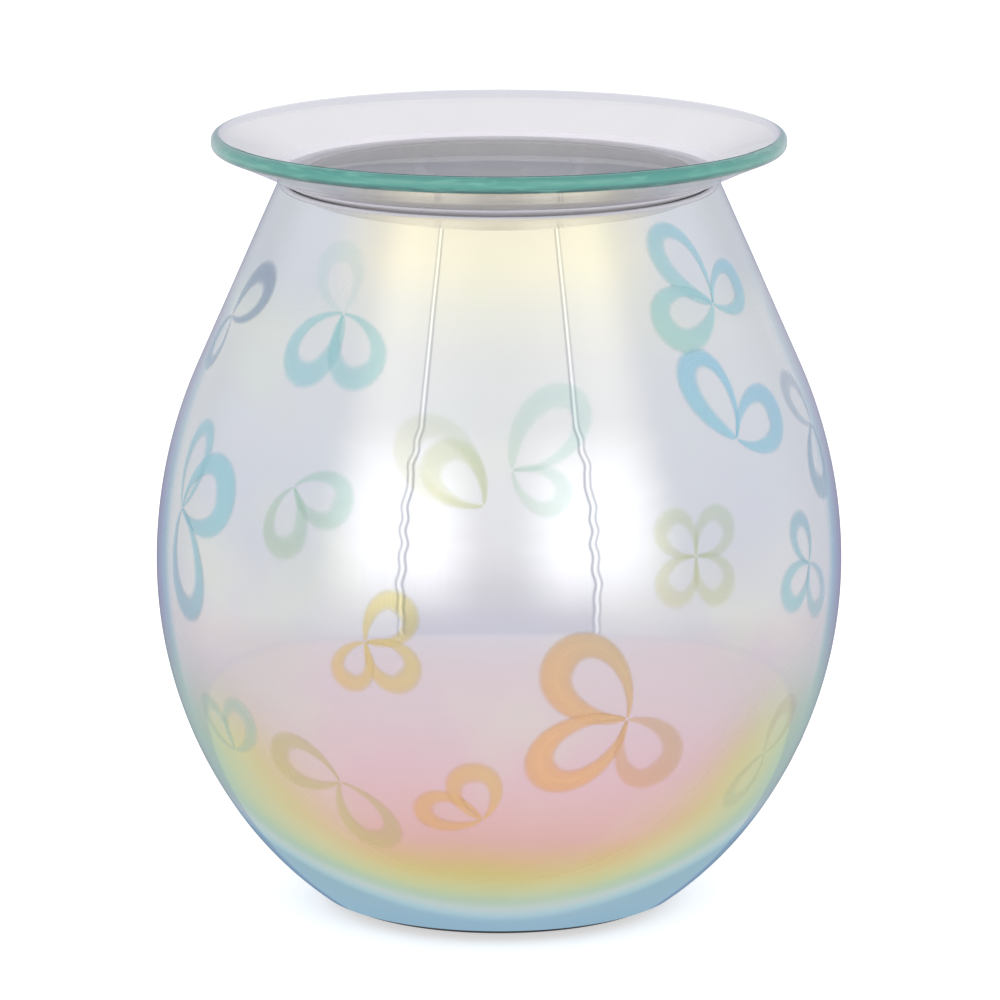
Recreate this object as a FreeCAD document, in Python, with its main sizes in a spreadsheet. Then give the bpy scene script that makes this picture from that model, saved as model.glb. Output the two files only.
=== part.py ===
import FreeCAD, Part
import math
import os
import Sketcher
from FreeCAD import Rotation, Vector

# Electric wax melt warmer, in millimetres: +Z up, the table at zero, the supply cord's inlet at +Y.
# A blown glass shade stands on a low black base, a halogen lamp points up inside it,
# and a slumped glass dish for the wax lies loose on the mouth of the shade.

SIZES = {
    # Shade: the blown glass, its widest ring and its mouth; the shares say how its arcs share the turn
    "widest_radius": 63.8,
    "widest_level": 65.1,
    "mouth_radius": 40.72,
    "mouth_level": 136.5,
    "neck_share": 1.371,
    "belly_share": 1.0224,
    "belly_turn_share": 0.6373,
    "shade_wall": 2.5,
    "mouth_round": 1.0,
    "notch_half_width": 4.5,
    # Dish: slumped float glass
    "dish_overhang": 12.28,
    "dish_sink": 0.68,
    "dish_floor_inset": 2.69,
    "dish_bend": 9.0,
    "dish_slope_angle": 27.2,
    "dish_brim_arc": 156.0,
    "dish_glass": 3.0,
    "dish_edge_round": 1.2,
    # Base pan: pressed steel, a flange under the glass and a drum that stands inside it
    "foot_thick": 2.0,
    "foot_recess": 0.4,
    "foot_radius": 5.0,
    "foot_round": 0.5,
    "foot_inset": 7.0,
    "pan_sheet": 0.8,
    "pan_flange_set_back": 2.52,
    "pan_drum_room": 3.6,
    "pan_deck_room": 2.5,
    "pan_corner": 2.0,
    "rim_seal_thick": 0.3,
    "rim_seal_inset": 0.2,
    "collar_height": 3.6,
    "collar_thick": 1.8,
    "collar_gap": 0.34,
    "seal_clearance": 0.1,
    # Clamp cover inside the shade
    "cover_sheet": 0.8,
    "cover_drum_room": 2.5,
    "cover_flange_gap": 0.53,
    "cover_flange_drop": 8.1,
    "cover_corner": 2.5,
    "wedge_width": 4.43,
    "wedge_inner_gap": 0.6,
    "wedge_height": 2.2,
    "wedge_clearance": 0.1,
    # Bottom cover
    "floor_plate_thick": 1.4,
    "floor_plate_gap": 0.3,
    "floor_plate_chamfer": 0.4,
    # Fasteners
    "screw_radius": 1.5,
    "screw_clearance": 0.1,
    "head_radius": 2.75,
    "head_height": 1.9,
    "low_head_height": 1.2,
    "slot_half_width": 0.4,
    "slot_depth": 0.6,
    "nut_corner_radius": 3.1,
    "nut_height": 2.4,
    "screw_engagement": 5.0,
    "thread_beyond_nut": 0.4,
    "clamp_room": 0.78,
    # Lamp bracket
    "bracket_sheet": 1.0,
    "bracket_width": 12.0,
    "bracket_height": 14.0,
    "bracket_side_room": 3.4,
    "bracket_head_room": 1.45,
    "bracket_end_margin": 3.8,
    "bracket_bend": 1.6,
    # Lamp holder
    "holder_radius": 14.0,
    "holder_top_height": 9.0,
    "holder_base_height": 6.0,
    "holder_chamfer": 0.8,
    "holder_screw_inset": 3.5,
    "holder_sink": 2.2,
    "pin_circle": 5.0,
    "pin_radius": 1.5,
    "pin_head_radius": 2.5,
    "pin_head_height": 2.6,
    "pin_length": 7.1,
    "pin_side_clearance": 0.35,
    "pin_head_clearance": 0.4,
    "pin_under_clearance": 0.3,
    "lock_angle": 20.0,
    "lamp_gap": 0.3,
    "contact_half_width": 2.0,
    "contact_inner": 2.2,
    "contact_tail_inset": 4.7,
    "contact_sheet": 0.5,
    "contact_room": 0.8,
    "contact_spring_lift": 1.3,
    # Reflector lamp
    "lamp_base_radius": 12.0,
    "lamp_base_height": 17.0,
    "lamp_base_waist": 10.4,
    "lamp_base_block": 9.0,
    "lamp_base_flare": 2.0,
    "lamp_socket_depth": 4.0,
    "lamp_neck_radius": 7.5,
    "lamp_neck_height": 5.5,
    "lamp_radius": 25.0,
    "lamp_bowl_height": 25.5,
    "lamp_rim_height": 3.0,
    "lamp_bowl_arc": 32.0,
    "lamp_wall": 1.5,
    "lamp_socket_clearance": 0.1,
    "lens_thick": 2.2,
    "lens_ledge": 0.8,
    "lens_clearance": 0.1,
    "capsule_radius": 4.5,
    "capsule_wall": 0.8,
    "capsule_height": 15.0,
    "filament_half_width": 2.0,
    "filament_wire": 0.35,
    "filament_height": 12.0,
    # Terminal block in the wiring space
    "block_pitch": 8.0,
    "block_side": 3.6,
    "block_front": 5.0,
    "block_rear": 11.2,
    "block_height": 10.0,
    "block_room": 1.0,
    "insert_radius": 2.0,
    "insert_bore": 1.3,
    "insert_clearance": 0.05,
    "insert_set_back": 0.6,
    "insert_level": 2.8,
    "block_screw_radius": 1.1,
    "terminal_screw_radius": 1.2,
    "terminal_screw_inset": 4.0,
    "terminal_head_radius": 1.8,
    "terminal_head_sink": 0.4,
    # Leads and the bush that they pass the deck in
    "bush_room": 0.9,
    "bush_bore": 4.4,
    "bush_neck": 5.6,
    "bush_flange": 6.6,
    "bush_flange_thick": 1.0,
    "bush_clearance": 0.1,
    "lead_radius": 1.1,
    "lead_core_radius": 0.6,
    "lead_pair_place": 3.0,
    "lead_strip": 3.0,
    "lead_hang": 6.0,
    "lead_cross_height": 4.2,
    "lead_turn_drop": 3.7,
    "lead_turn_inset": 1.5,
    "earth_across": 9.0,
    "earth_inset": 7.5,
    "earth_dip": 1.4,
    "earth_front": 15.0,
    "tag_radius": 3.0,
    "tag_sheet": 0.6,
    "tag_tongue_half_width": 1.2,
    "tag_tongue_length": 7.0,
    # Supply cord's gland at the rear
    "gland_height": 6.0,
    "gland_bore": 3.1,
    "gland_radius": 4.2,
    "gland_head_radius": 5.2,
    "gland_head_thick": 1.3,
    "gland_seat_gap": 0.6,
    "gland_beyond": 8.48,
    "gland_end_step": 0.7,
    "gland_end_length": 4.0,
    "gland_clearance": 0.1,
    "gland_slot_margin": 0.5,
    # One overrun for every cut, and how near an edge is to the place that it is found by
    "overrun": 2.0,
    "near": 0.01,
}

FULL_TURN = 360
HALF_TURN = 180
TWO_WAYS = 2
FOUR_WAYS = 4
DIAGONAL = 45
HEX_SIDES = 6
RUN_SHARE = 0.45
HALF_SHARE = 0.5

doc = FreeCAD.newDocument("WaxMeltWarmer")
sheet = doc.addObject("Spreadsheet::Sheet", "Sizes")
rows = []


def add_row(name, content):
    rows.append(name)
    sheet.set(f"A{len(rows)}", name)
    sheet.set(f"B{len(rows)}", content)
    sheet.setAlias(f"B{len(rows)}", name)


for size_name, number in SIZES.items():
    add_row(size_name, str(number))
doc.recompute()


class Size:
    """A size worked out from the sheet: what it measures now and the expression that keeps it."""

    def __init__(self, number, text):
        self.number = number
        self.text = text

    def __add__(self, other):
        other = as_size(other)
        return Size(self.number + other.number, f"({self.text} + {other.text})")

    def __sub__(self, other):
        other = as_size(other)
        return Size(self.number - other.number, f"({self.text} - {other.text})")

    def __mul__(self, other):
        other = as_size(other)
        return Size(self.number * other.number, f"({self.text} * {other.text})")

    def __truediv__(self, other):
        other = as_size(other)
        return Size(self.number / other.number, f"({self.text} / {other.text})")

    def __neg__(self):
        return Size(-self.number, f"(0 - {self.text})")


def as_size(item):
    return item if isinstance(item, Size) else Size(float(item), repr(float(item)))


def named(name):
    return Size(float(SIZES[name]), f"Sizes.{name}")


def sine(angle):
    return Size(math.sin(math.radians(angle.number)), f"sin({angle.text})")


def cosine(angle):
    return Size(math.cos(math.radians(angle.number)), f"cos({angle.text})")


def arctangent(item):
    return Size(math.degrees(math.atan(item.number)), f"atan({item.text})")


def root(item):
    return Size(math.sqrt(item.number), f"sqrt({item.text})")


def larger(one, other):
    return Size(max(one.number, other.number), f"max({one.text}; {other.text})")


def keep(name, size):
    """Gives a worked-out size a row of its own in the sheet."""
    add_row(name, "=" + size.text.replace("Sizes.", ""))
    doc.recompute()
    return Size(size.number, f"Sizes.{name}")


def new_body(label):
    body = doc.addObject("PartDesign::Body", label)
    body.Label = label
    body.AllowCompound = True
    return body


def origin_part(body, role):
    return next(item for item in body.Origin.OriginFeatures if item.Role == role)


def sketch_on(body, name, role, level=None):
    """A sketch on one of the body's own planes, moved along the plane's normal by level."""
    sketch = body.newObject("Sketcher::SketchObject", f"{body.Label}_{name}")
    sketch.AttachmentSupport = (origin_part(body, role), "")
    sketch.MapMode = "FlatFace"
    if level is not None:
        sketch.setExpression("AttachmentOffset.Base.z", as_size(level).text)
    return sketch


def fix(sketch, kind, items, size):
    index = sketch.addConstraint(Sketcher.Constraint(kind, *items, size.number))
    sketch.setExpression(f"Constraints[{index}]", size.text)


def place_point(sketch, geometry, spot, across, up):
    fix(sketch, "DistanceX", (geometry, spot), as_size(across))
    fix(sketch, "DistanceY", (geometry, spot), as_size(up))


def arc_between(start, end, radius, side):
    """The short arc from start to end, its centre on the left of the way for side 1, else on the right."""
    chord = end - start
    left = Vector(-chord.y, chord.x, 0).normalize()
    rise = math.sqrt(max(radius ** 2 - (chord.Length / 2) ** 2, 0))
    centre = (start + end) * HALF_SHARE + left * (rise * side)
    first, last = (start, end) if side > 0 else (end, start)
    first_angle = math.atan2(first.y - centre.y, first.x - centre.x)
    last_angle = math.atan2(last.y - centre.y, last.x - centre.x)
    if last_angle < first_angle:
        last_angle += 2 * math.pi
    circle = Part.Circle(centre, Vector(0, 0, 1), radius)
    return Part.ArcOfCircle(circle, first_angle, last_angle)


def outline(sketch, corners):
    """A closed outline. A corner is (across, up), or (across, up, radius, side) where an arc follows."""
    count = len(corners)
    spots = [Vector(as_size(corner[0]).number, as_size(corner[1]).number, 0) for corner in corners]
    runs = []
    for index, corner in enumerate(corners):
        start, end = spots[index], spots[(index + 1) % count]
        if len(corner) == 2:
            line = sketch.addGeometry(Part.LineSegment(start, end))
            runs.append((line, 1, 2))
        else:
            radius, side = as_size(corner[2]), corner[3]
            bend = sketch.addGeometry(arc_between(start, end, radius.number, side))
            runs.append((bend, 1, 2) if side > 0 else (bend, 2, 1))
    for index, (geometry, first, last) in enumerate(runs):
        following, following_first, _ = runs[(index + 1) % count]
        sketch.addConstraint(Sketcher.Constraint("Coincident", geometry, last, following, following_first))
    for index, (geometry, first, last) in enumerate(runs):
        place_point(sketch, geometry, first, corners[index][0], corners[index][1])
        if len(corners[index]) > 2:
            fix(sketch, "Radius", (geometry,), as_size(corners[index][2]))


def circle(sketch, across, up, radius):
    centre = Vector(as_size(across).number, as_size(up).number, 0)
    ring = sketch.addGeometry(Part.Circle(centre, Vector(0, 0, 1), radius.number))
    place_point(sketch, ring, 3, across, up)
    fix(sketch, "Radius", (ring,), radius)


def box_outline(sketch, left, right, low, high):
    outline(sketch, [(left, low), (right, low), (right, high), (left, high)])


def hexagon(sketch, across, up, corner_radius):
    steps = [math.radians(FULL_TURN / HEX_SIDES * side) for side in range(HEX_SIDES)]
    corners = []
    for step in steps:
        corners.append((as_size(across) + corner_radius * math.cos(step),
                        as_size(up) + corner_radius * math.sin(step)))
    outline(sketch, corners)


def axis_line(sketch, across):
    """A line that stands in the sketch for the axis that a piece is turned about."""
    top = Vector(as_size(across).number, named("widest_radius").number, 0)
    line = sketch.addGeometry(Part.LineSegment(Vector(top.x, 0, 0), top), True)
    place_point(sketch, line, 1, across, 0)
    place_point(sketch, line, 2, across, named("widest_radius"))


def turn(body, name, sketch, axis, kind="PartDesign::Revolution", angle=FULL_TURN):
    feature = body.newObject(kind, f"{body.Label}_{name}")
    feature.Profile = sketch
    feature.ReferenceAxis = (sketch, [axis])
    if isinstance(angle, Size):
        feature.setExpression("Angle", angle.text)
    else:
        feature.Angle = angle
    return feature


def turned(label, corners):
    """A round piece about the Z axis, from its section of (radius, level) corners."""
    body = new_body(label)
    sketch = sketch_on(body, "section", "XZ_Plane")
    outline(sketch, corners)
    turn(body, "turn", sketch, "V_Axis")
    return body


def turned_at(label, role, across, corners):
    """A round piece about an upright axis that stands off the middle by across."""
    body = new_body(label)
    sketch = sketch_on(body, "section", role)
    outline(sketch, [(across + corner[0],) + tuple(corner[1:]) for corner in corners])
    axis_line(sketch, across)
    turn(body, "turn", sketch, "Axis0")
    return body


def pad(body, name, sketch, length, both_ways=False):
    feature = body.newObject("PartDesign::Pad", f"{body.Label}_{name}")
    feature.Profile = sketch
    feature.setExpression("Length", as_size(length).text)
    feature.Midplane = both_ways
    return feature


def pocket(body, name, sketch, length, reverse=False):
    feature = body.newObject("PartDesign::Pocket", f"{body.Label}_{name}")
    feature.Profile = sketch
    feature.setExpression("Length", as_size(length).text)
    feature.Reversed = reverse
    return feature


def repeat(body, features, count):
    pattern = body.newObject("PartDesign::PolarPattern", f"{body.Label}_repeat")
    pattern.Originals = features
    pattern.Axis = (origin_part(body, "Z_Axis"), [""])
    pattern.Angle = FULL_TURN
    pattern.Occurrences = count
    body.Tip = pattern
    return pattern


def drill(body, name, level, depth, holes):
    """Round holes down from level, each (across, along, radius)."""
    sketch = sketch_on(body, name, "XY_Plane", level)
    for across, along, radius in holes:
        circle(sketch, across, along, radius)
    return pocket(body, f"{name}_cut", sketch, depth)


def rear_slot(body, name, half_width, low, high, start):
    """A square slot through the rear half, from start outwards."""
    sketch = sketch_on(body, name, "XZ_Plane", -start)
    box_outline(sketch, -half_width, half_width, low, high)
    return pocket(body, f"{name}_cut", sketch, named("widest_radius"))


def rear_bore(body, name, level, radius, start):
    sketch = sketch_on(body, name, "XZ_Plane", -start)
    circle(sketch, 0, level, radius)
    return pocket(body, f"{name}_cut", sketch, named("widest_radius"))


def place(body, across=0, along=0, level=0, spin=0):
    for key, size in (("x", across), ("y", along), ("z", level)):
        body.setExpression(f"Placement.Base.{key}", as_size(size).text)
    body.Placement.Rotation = Rotation(Vector(0, 0, 1), spin)


def rounded_edges(body, base, name, radius, wanted):
    """Rounds the edges that wanted picks on the feature that base names."""
    doc.recompute()
    edges = [f"Edge{index}" for index, edge in enumerate(base.Shape.Edges, start=1) if wanted(edge)]
    feature = body.newObject("PartDesign::Fillet", f"{body.Label}_{name}")
    feature.Base = (base, edges)
    feature.setExpression("Radius", as_size(radius).text)
    return feature


# Levels that the pieces share, from the table up
pan_low = named("foot_thick") - named("foot_recess")
pan_flange_top = pan_low + named("pan_sheet")
glass_low = keep("glass_low", pan_flange_top + named("rim_seal_thick"))
floor_top = pan_low + named("floor_plate_thick")
block_low = floor_top + named("block_room") + named("low_head_height")
pan_deck_low = keep("pan_deck_low", block_low + named("block_height"))
pan_deck_top = pan_deck_low + named("pan_sheet")
cover_deck_top = keep("cover_deck_top", pan_deck_top + named("cover_sheet"))
cover_flange_low = keep("cover_flange_low", pan_deck_top - named("cover_flange_drop"))
bracket_top = keep("bracket_top", cover_deck_top + named("bracket_height"))
bracket_under = bracket_top - named("bracket_sheet")
holder_split = bracket_top + named("holder_base_height")
holder_top = holder_split + named("holder_top_height")
lamp_low = keep("lamp_low", holder_top + named("lamp_gap"))
lamp_base_top = lamp_low + named("lamp_base_height")
socket_floor = lamp_base_top - named("lamp_socket_depth")
bowl_low = socket_floor + named("lamp_neck_height")
bowl_high = bowl_low + named("lamp_bowl_height")
lamp_top = keep("lamp_top", bowl_high + named("lamp_rim_height"))
insert_level = block_low + named("insert_level")
gland_level = pan_flange_top + named("gland_height")

# Places in the base, from the middle outwards, each from what it has to clear
nut_radius = named("nut_corner_radius")
screw_hole = named("screw_radius") + named("screw_clearance")
holder_place = keep("holder_place", named("holder_radius") - named("holder_screw_inset"))
contact_tail = named("holder_radius") - named("contact_tail_inset")
bracket_span = keep("bracket_span", holder_place + nut_radius + named("bracket_side_room"))
bracket_place = keep("bracket_place", bracket_span + named("head_radius") + named("bracket_head_room"))
bracket_end = bracket_place + named("bracket_end_margin")
block_half = named("block_pitch") + named("block_side")
block_corner = root(block_half * block_half + named("block_rear") * named("block_rear"))
clamp_circle = keep("clamp_circle", block_corner + nut_radius + named("clamp_room"))
clamp_drum = clamp_circle + nut_radius + named("pan_drum_room") + named("pan_sheet")
pan_drum = keep("pan_drum", larger(clamp_drum, bracket_end + named("pan_deck_room")))
bush_place = named("block_front") + named("bush_flange") + named("bush_room")
earth_along = pan_drum - named("earth_inset")
foot_circle = pan_drum - named("foot_inset")
cover_drum = pan_drum + named("cover_drum_room")
collar_inner = pan_drum + named("seal_clearance")
collar_outer = collar_inner + named("collar_thick")
glass_edge = keep("glass_edge", collar_outer + named("collar_gap"))

# Belly of the glass inside: two arcs from its widest ring down to its lower edge round the collar
inner_widest = named("widest_radius") - named("shade_wall")
drawn_in = keep("drawn_in", inner_widest - glass_edge)
belly_drop = keep("belly_drop", named("widest_level") - glass_low)
belly_turn = keep("belly_turn", arctangent(drawn_in / belly_drop) * 2 * named("belly_turn_share"))
one_arc = (drawn_in * drawn_in + belly_drop * belly_drop) / (drawn_in * 2)
belly_bend = keep("belly_bend", one_arc * named("belly_share"))
belly_across = keep("belly_across", inner_widest - belly_bend)
knee_across = keep("knee_across", belly_across + belly_bend * cosine(belly_turn))
knee_level = keep("knee_level", named("widest_level") - belly_bend * sine(belly_turn))
knee_out = knee_across - glass_edge
knee_up = knee_level - glass_low
knee_reach = knee_out * cosine(belly_turn) - knee_up * sine(belly_turn)
foot_bend = keep("foot_bend", (knee_out * knee_out + knee_up * knee_up) / (knee_reach * 2))
foot_across = keep("foot_across", knee_across - foot_bend * cosine(belly_turn))
foot_level = keep("foot_level", knee_level + foot_bend * sine(belly_turn))

# Neck of the glass outside: one arc from its widest ring up, then a straight cone to the mouth
neck_rise = named("mouth_level") - named("widest_level")
neck_in = named("widest_radius") - named("mouth_radius")
neck_angle = keep("neck_angle", arctangent(neck_in * named("neck_share") / neck_rise))
secant = as_size(1) / cosine(neck_angle)
neck_bend = keep("neck_bend", neck_in * (named("neck_share") - 1) / (secant - 1))
mouth_inner = keep("mouth_inner", named("mouth_radius") - named("shade_wall") * secant)
dish_floor = keep("dish_floor", mouth_inner - named("dish_floor_inset"))


def glass_radius(bend, level):
    """How far the lower arc of the glass stands out at a level, for that arc's own radius."""
    drop = foot_level - level
    return foot_across + root(bend * bend - drop * drop)


outer_edge = glass_radius(foot_bend + named("shade_wall"), glass_low)
pan_flange = keep("pan_flange", outer_edge - named("pan_flange_set_back"))
seat_radius = keep("seat_radius", glass_radius(foot_bend, cover_flange_low))
wedge_inner = larger(seat_radius - named("wedge_width"), collar_outer + named("wedge_inner_gap"))


def spread(places_radius):
    """Four places on the diagonals of a circle."""
    offset = places_radius * math.cos(math.radians(DIAGONAL))
    return [(offset, offset), (-offset, offset), (-offset, -offset), (offset, -offset)]


diagonals = spread(clamp_circle)


def shade_face(inset):
    """Corners of one face of the shade, from the lower edge up to the mouth, inset from the outside."""
    level = named("widest_level")
    upper = neck_bend - inset
    belly = belly_bend + named("shade_wall") - inset
    lower = foot_bend + named("shade_wall") - inset
    edge = (glass_radius(lower, glass_low), glass_low)
    knee = (belly_across + belly * cosine(belly_turn), level - belly * sine(belly_turn))
    widest = (named("widest_radius") - inset, level)
    neck = (widest[0] - upper * (as_size(1) - cosine(neck_angle)), level + upper * sine(neck_angle))
    mouth = (named("mouth_radius") - inset / cosine(neck_angle), named("mouth_level"))
    return [edge, knee, widest, neck, mouth], [lower, belly, upper]


# The shade is one blown glass, held as two solids that meet at its widest ring, so each stays a plain ring
def glass_shade_upper():
    outer, outer_bends = shade_face(as_size(0))
    inner, inner_bends = shade_face(named("shade_wall"))
    corners = [
        (outer[2][0], outer[2][1], outer_bends[2], 1),
        outer[3],
        outer[4],
        inner[4],
        (inner[3][0], inner[3][1], inner_bends[2], -1),
        inner[2],
    ]
    body = turned("glass_shade_upper", corners)
    mouth, near = named("mouth_level").number, named("near").number
    at_mouth = lambda edge: all(abs(point.Point.z - mouth) < near for point in edge.Vertexes)
    rounded_edges(body, body.Tip, "mouth_round", named("mouth_round"), at_mouth)
    return body


def glass_shade_lower():
    outer, outer_bends = shade_face(as_size(0))
    inner, inner_bends = shade_face(named("shade_wall"))
    corners = [
        (outer[0][0], outer[0][1], outer_bends[0], 1),
        (outer[1][0], outer[1][1], outer_bends[1], 1),
        outer[2],
        (inner[2][0], inner[2][1], inner_bends[1], -1),
        (inner[1][0], inner[1][1], inner_bends[0], -1),
        inner[0],
    ]
    body = turned("glass_shade_lower", corners)
    half = named("notch_half_width")
    rear_slot(body, "notch", half, glass_low - named("overrun"), gland_level, 0)
    rear_bore(body, "notch_arch", gland_level, half, 0)
    return body


def glass_dish():
    slope = named("dish_slope_angle")
    floor_low = named("mouth_level") - named("dish_sink")
    floor_high = floor_low + named("dish_glass")
    bend_centre = floor_low + named("dish_bend")
    thick = named("dish_glass")
    rim = named("mouth_radius") + named("dish_overhang")
    brim = named("dish_brim_arc")
    under_start = (dish_floor + named("dish_bend") * sine(slope),
                   bend_centre - named("dish_bend") * cosine(slope))
    inner_bend = named("dish_bend") - thick
    top_start = (dish_floor + inner_bend * sine(slope),
                 bend_centre - inner_bend * cosine(slope))
    centre = (under_start[0] + brim * sine(slope), under_start[1] - brim * cosine(slope))
    reach = centre[0] - rim
    under_end = (rim, centre[1] + root(brim * brim - reach * reach))
    outer_brim = brim + thick
    top_end = (rim, centre[1] + root(outer_brim * outer_brim - reach * reach))
    corners = [
        (0, floor_low),
        (dish_floor, floor_low, named("dish_bend"), 1),
        (under_start[0], under_start[1], brim, -1),
        under_end,
        (top_end[0], top_end[1], outer_brim, 1),
        (top_start[0], top_start[1], inner_bend, -1),
        (dish_floor, floor_high),
        (0, floor_high),
    ]
    body = turned("glass_dish", corners)
    limit = rim.number - named("overrun").number
    at_rim = lambda edge: all(math.hypot(p.Point.x, p.Point.y) > limit for p in edge.Vertexes) \
        and edge.Curve.TypeId == "Part::GeomCircle" and abs(edge.Curve.Axis.z) > HALF_SHARE
    rounded_edges(body, body.Tip, "edge_round", named("dish_edge_round"), at_rim)
    return body


def base_pan():
    sheet_thick = named("pan_sheet")
    drum = pan_drum
    bend = named("pan_corner")
    corners = [
        (drum - sheet_thick, pan_low),
        (pan_flange, pan_low),
        (pan_flange, pan_flange_top),
        (drum, pan_flange_top),
        (drum, pan_deck_top - bend, bend, 1),
        (drum - bend, pan_deck_top),
        (0, pan_deck_top),
        (0, pan_deck_low),
        (drum - bend, pan_deck_low, bend - sheet_thick, -1),
        (drum - sheet_thick, pan_deck_top - bend),
    ]
    body = turned("base_pan", corners)
    holes = [(across, along, screw_hole) for across, along in diagonals]
    holes += [(bracket_place, 0, screw_hole), (-bracket_place, 0, screw_hole)]
    holes += [(-named("earth_across"), -earth_along, screw_hole)]
    holes += [(0, -bush_place, named("bush_neck") + named("bush_clearance"))]
    tapped = named("block_screw_radius") + named("insert_clearance")
    holes += [(named("block_pitch") * HALF_SHARE, block_middle, tapped)]
    drill(body, "holes", pan_deck_top + named("overrun"), named("overrun") + sheet_thick * 2, holes)
    rear_bore(body, "cord_hole", gland_level, named("gland_radius") + named("gland_clearance"), 0)
    return body


def clamp_cover():
    sheet_thick = named("cover_sheet")
    drum = cover_drum
    bend = named("cover_corner")
    flange_low = cover_flange_low
    flange_top = flange_low + sheet_thick
    corners = [
        (drum - sheet_thick, flange_low),
        (seat_radius - named("cover_flange_gap"), flange_low),
        (seat_radius - named("cover_flange_gap"), flange_top),
        (drum, flange_top),
        (drum, cover_deck_top - bend, bend, 1),
        (drum - bend, cover_deck_top),
        (0, cover_deck_top),
        (0, pan_deck_top),
        (drum - bend, pan_deck_top, bend - sheet_thick, -1),
        (drum - sheet_thick, cover_deck_top - bend),
    ]
    body = turned("clamp_cover", corners)
    holes = [(across, along, screw_hole) for across, along in diagonals]
    holes += [(bracket_place, 0, screw_hole), (-bracket_place, 0, screw_hole)]
    holes += [(-named("earth_across"), -earth_along, screw_hole)]
    holes += [(0, -bush_place, named("bush_neck") + named("bush_clearance"))]
    drill(body, "holes", cover_deck_top + named("overrun"), named("overrun") + sheet_thick * 2, holes)
    half = named("gland_radius") + named("gland_slot_margin")
    rear_slot(body, "cord_slot", half, flange_low - named("overrun"),
              gland_level + half, 0)
    return body


def clamp_gasket():
    radius = foot_bend - named("wedge_clearance")
    low = cover_flange_low - named("wedge_height")
    corners = [
        (wedge_inner, low),
        (glass_radius(radius, low), low, radius, 1),
        (glass_radius(radius, cover_flange_low), cover_flange_low),
        (wedge_inner, cover_flange_low),
    ]
    body = turned("clamp_gasket", corners)
    half = named("gland_radius") + named("gland_slot_margin")
    rear_slot(body, "cord_slot", half, low - named("overrun"), cover_flange_low + named("overrun"), 0)
    return body


def seat_gasket():
    outer = pan_flange - named("rim_seal_inset")
    corners = [
        (collar_inner, pan_flange_top),
        (outer, pan_flange_top),
        (outer, glass_low),
        (collar_outer, glass_low),
        (collar_outer, pan_flange_top + named("collar_height")),
        (collar_inner, pan_flange_top + named("collar_height")),
    ]
    body = turned("seat_gasket", corners)
    half = named("gland_radius") + named("gland_slot_margin")
    rear_slot(body, "cord_slot", half, glass_low,
              pan_flange_top + named("collar_height") + named("overrun"), 0)
    return body


def bottom_cover():
    radius = pan_drum - named("pan_sheet") - named("floor_plate_gap")
    chamfer = named("floor_plate_chamfer")
    corners = [
        (0, pan_low),
        (radius - chamfer, pan_low),
        (radius, pan_low + chamfer),
        (radius, floor_top),
        (0, floor_top),
    ]
    body = turned("bottom_cover", corners)
    holes = [(across, along, screw_hole) for across, along in diagonals]
    through = named("floor_plate_thick") + named("overrun") * 2
    drill(body, "holes", floor_top + named("overrun"), through, holes)
    recess = named("foot_radius") + named("screw_clearance")
    ring = foot_circle
    sketch = sketch_on(body, "foot_seats", "XY_Plane", pan_low + named("foot_recess"))
    for across, along in ((ring, 0), (-ring, 0), (0, ring), (0, -ring)):
        circle(sketch, across, along, recess)
    pocket(body, "foot_seats_cut", sketch, named("foot_recess") + named("overrun"))
    return body


def foot(label, across, along):
    round_size = named("foot_round")
    radius = named("foot_radius")
    corners = [
        (0, 0),
        (radius - round_size, 0, round_size, 1),
        (radius, round_size),
        (radius, named("foot_thick")),
        (0, named("foot_thick")),
    ]
    body = turned(label, corners)
    place(body, across, along)
    return body


def screw_section(head_low, tip, head_radius, head_height, shank):
    """Half section of a pan-head screw that points down, about its own axis."""
    head_top = head_low + head_height
    soft = head_height * HALF_SHARE
    return [
        (as_size(0), tip),
        (shank, tip),
        (shank, head_low),
        (head_radius, head_low),
        (head_radius, head_top - soft),
        (head_radius - soft, head_top),
        (as_size(0), head_top),
    ]


def slot_head(body, across, level, along=0):
    """A driver slot across the screw's head."""
    sketch = sketch_on(body, "slot", "XY_Plane", level)
    half = named("slot_half_width")
    reach = named("head_radius") + named("overrun")
    along = as_size(along)
    box_outline(sketch, across - half, across + half, along - reach, along + reach)
    return pocket(body, "slot_cut", sketch, named("slot_depth"))


def screws(label, places, count, head_low, tip, spin=0, head_height=None):
    """Identical upright screws with their heads up, around the middle."""
    head_height = head_height or named("head_height")
    section = screw_section(head_low, tip, named("head_radius"), head_height, named("screw_radius"))
    body = turned_at(label, "XZ_Plane", places, section)
    made = [body.Tip, slot_head(body, places, head_low + head_height)]
    if count > 1:
        repeat(body, made, count)
    place(body, spin=spin)
    return body


def cover_screws():
    """Four low-head screws from below, tips up in the spacers."""
    place_radius = clamp_circle
    low = pan_low - named("low_head_height")
    tip = floor_top + named("screw_engagement")
    head, shank = named("head_radius"), named("screw_radius")
    section = [
        (as_size(0), low),
        (head, low),
        (head, pan_low),
        (shank, pan_low),
        (shank, tip),
        (as_size(0), tip),
    ]
    body = turned_at("cover_screws", "XZ_Plane", place_radius, section)
    sketch = sketch_on(body, "slot", "XY_Plane", low)
    half = named("slot_half_width")
    reach = named("head_radius") + named("overrun")
    box_outline(sketch, place_radius - half, place_radius + half, -reach, reach)
    cut = pocket(body, "slot_cut", sketch, named("slot_depth"), reverse=True)
    repeat(body, [body.getObject("cover_screws_turn"), cut], FOUR_WAYS)
    place(body, spin=DIAGONAL)
    return body


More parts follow.
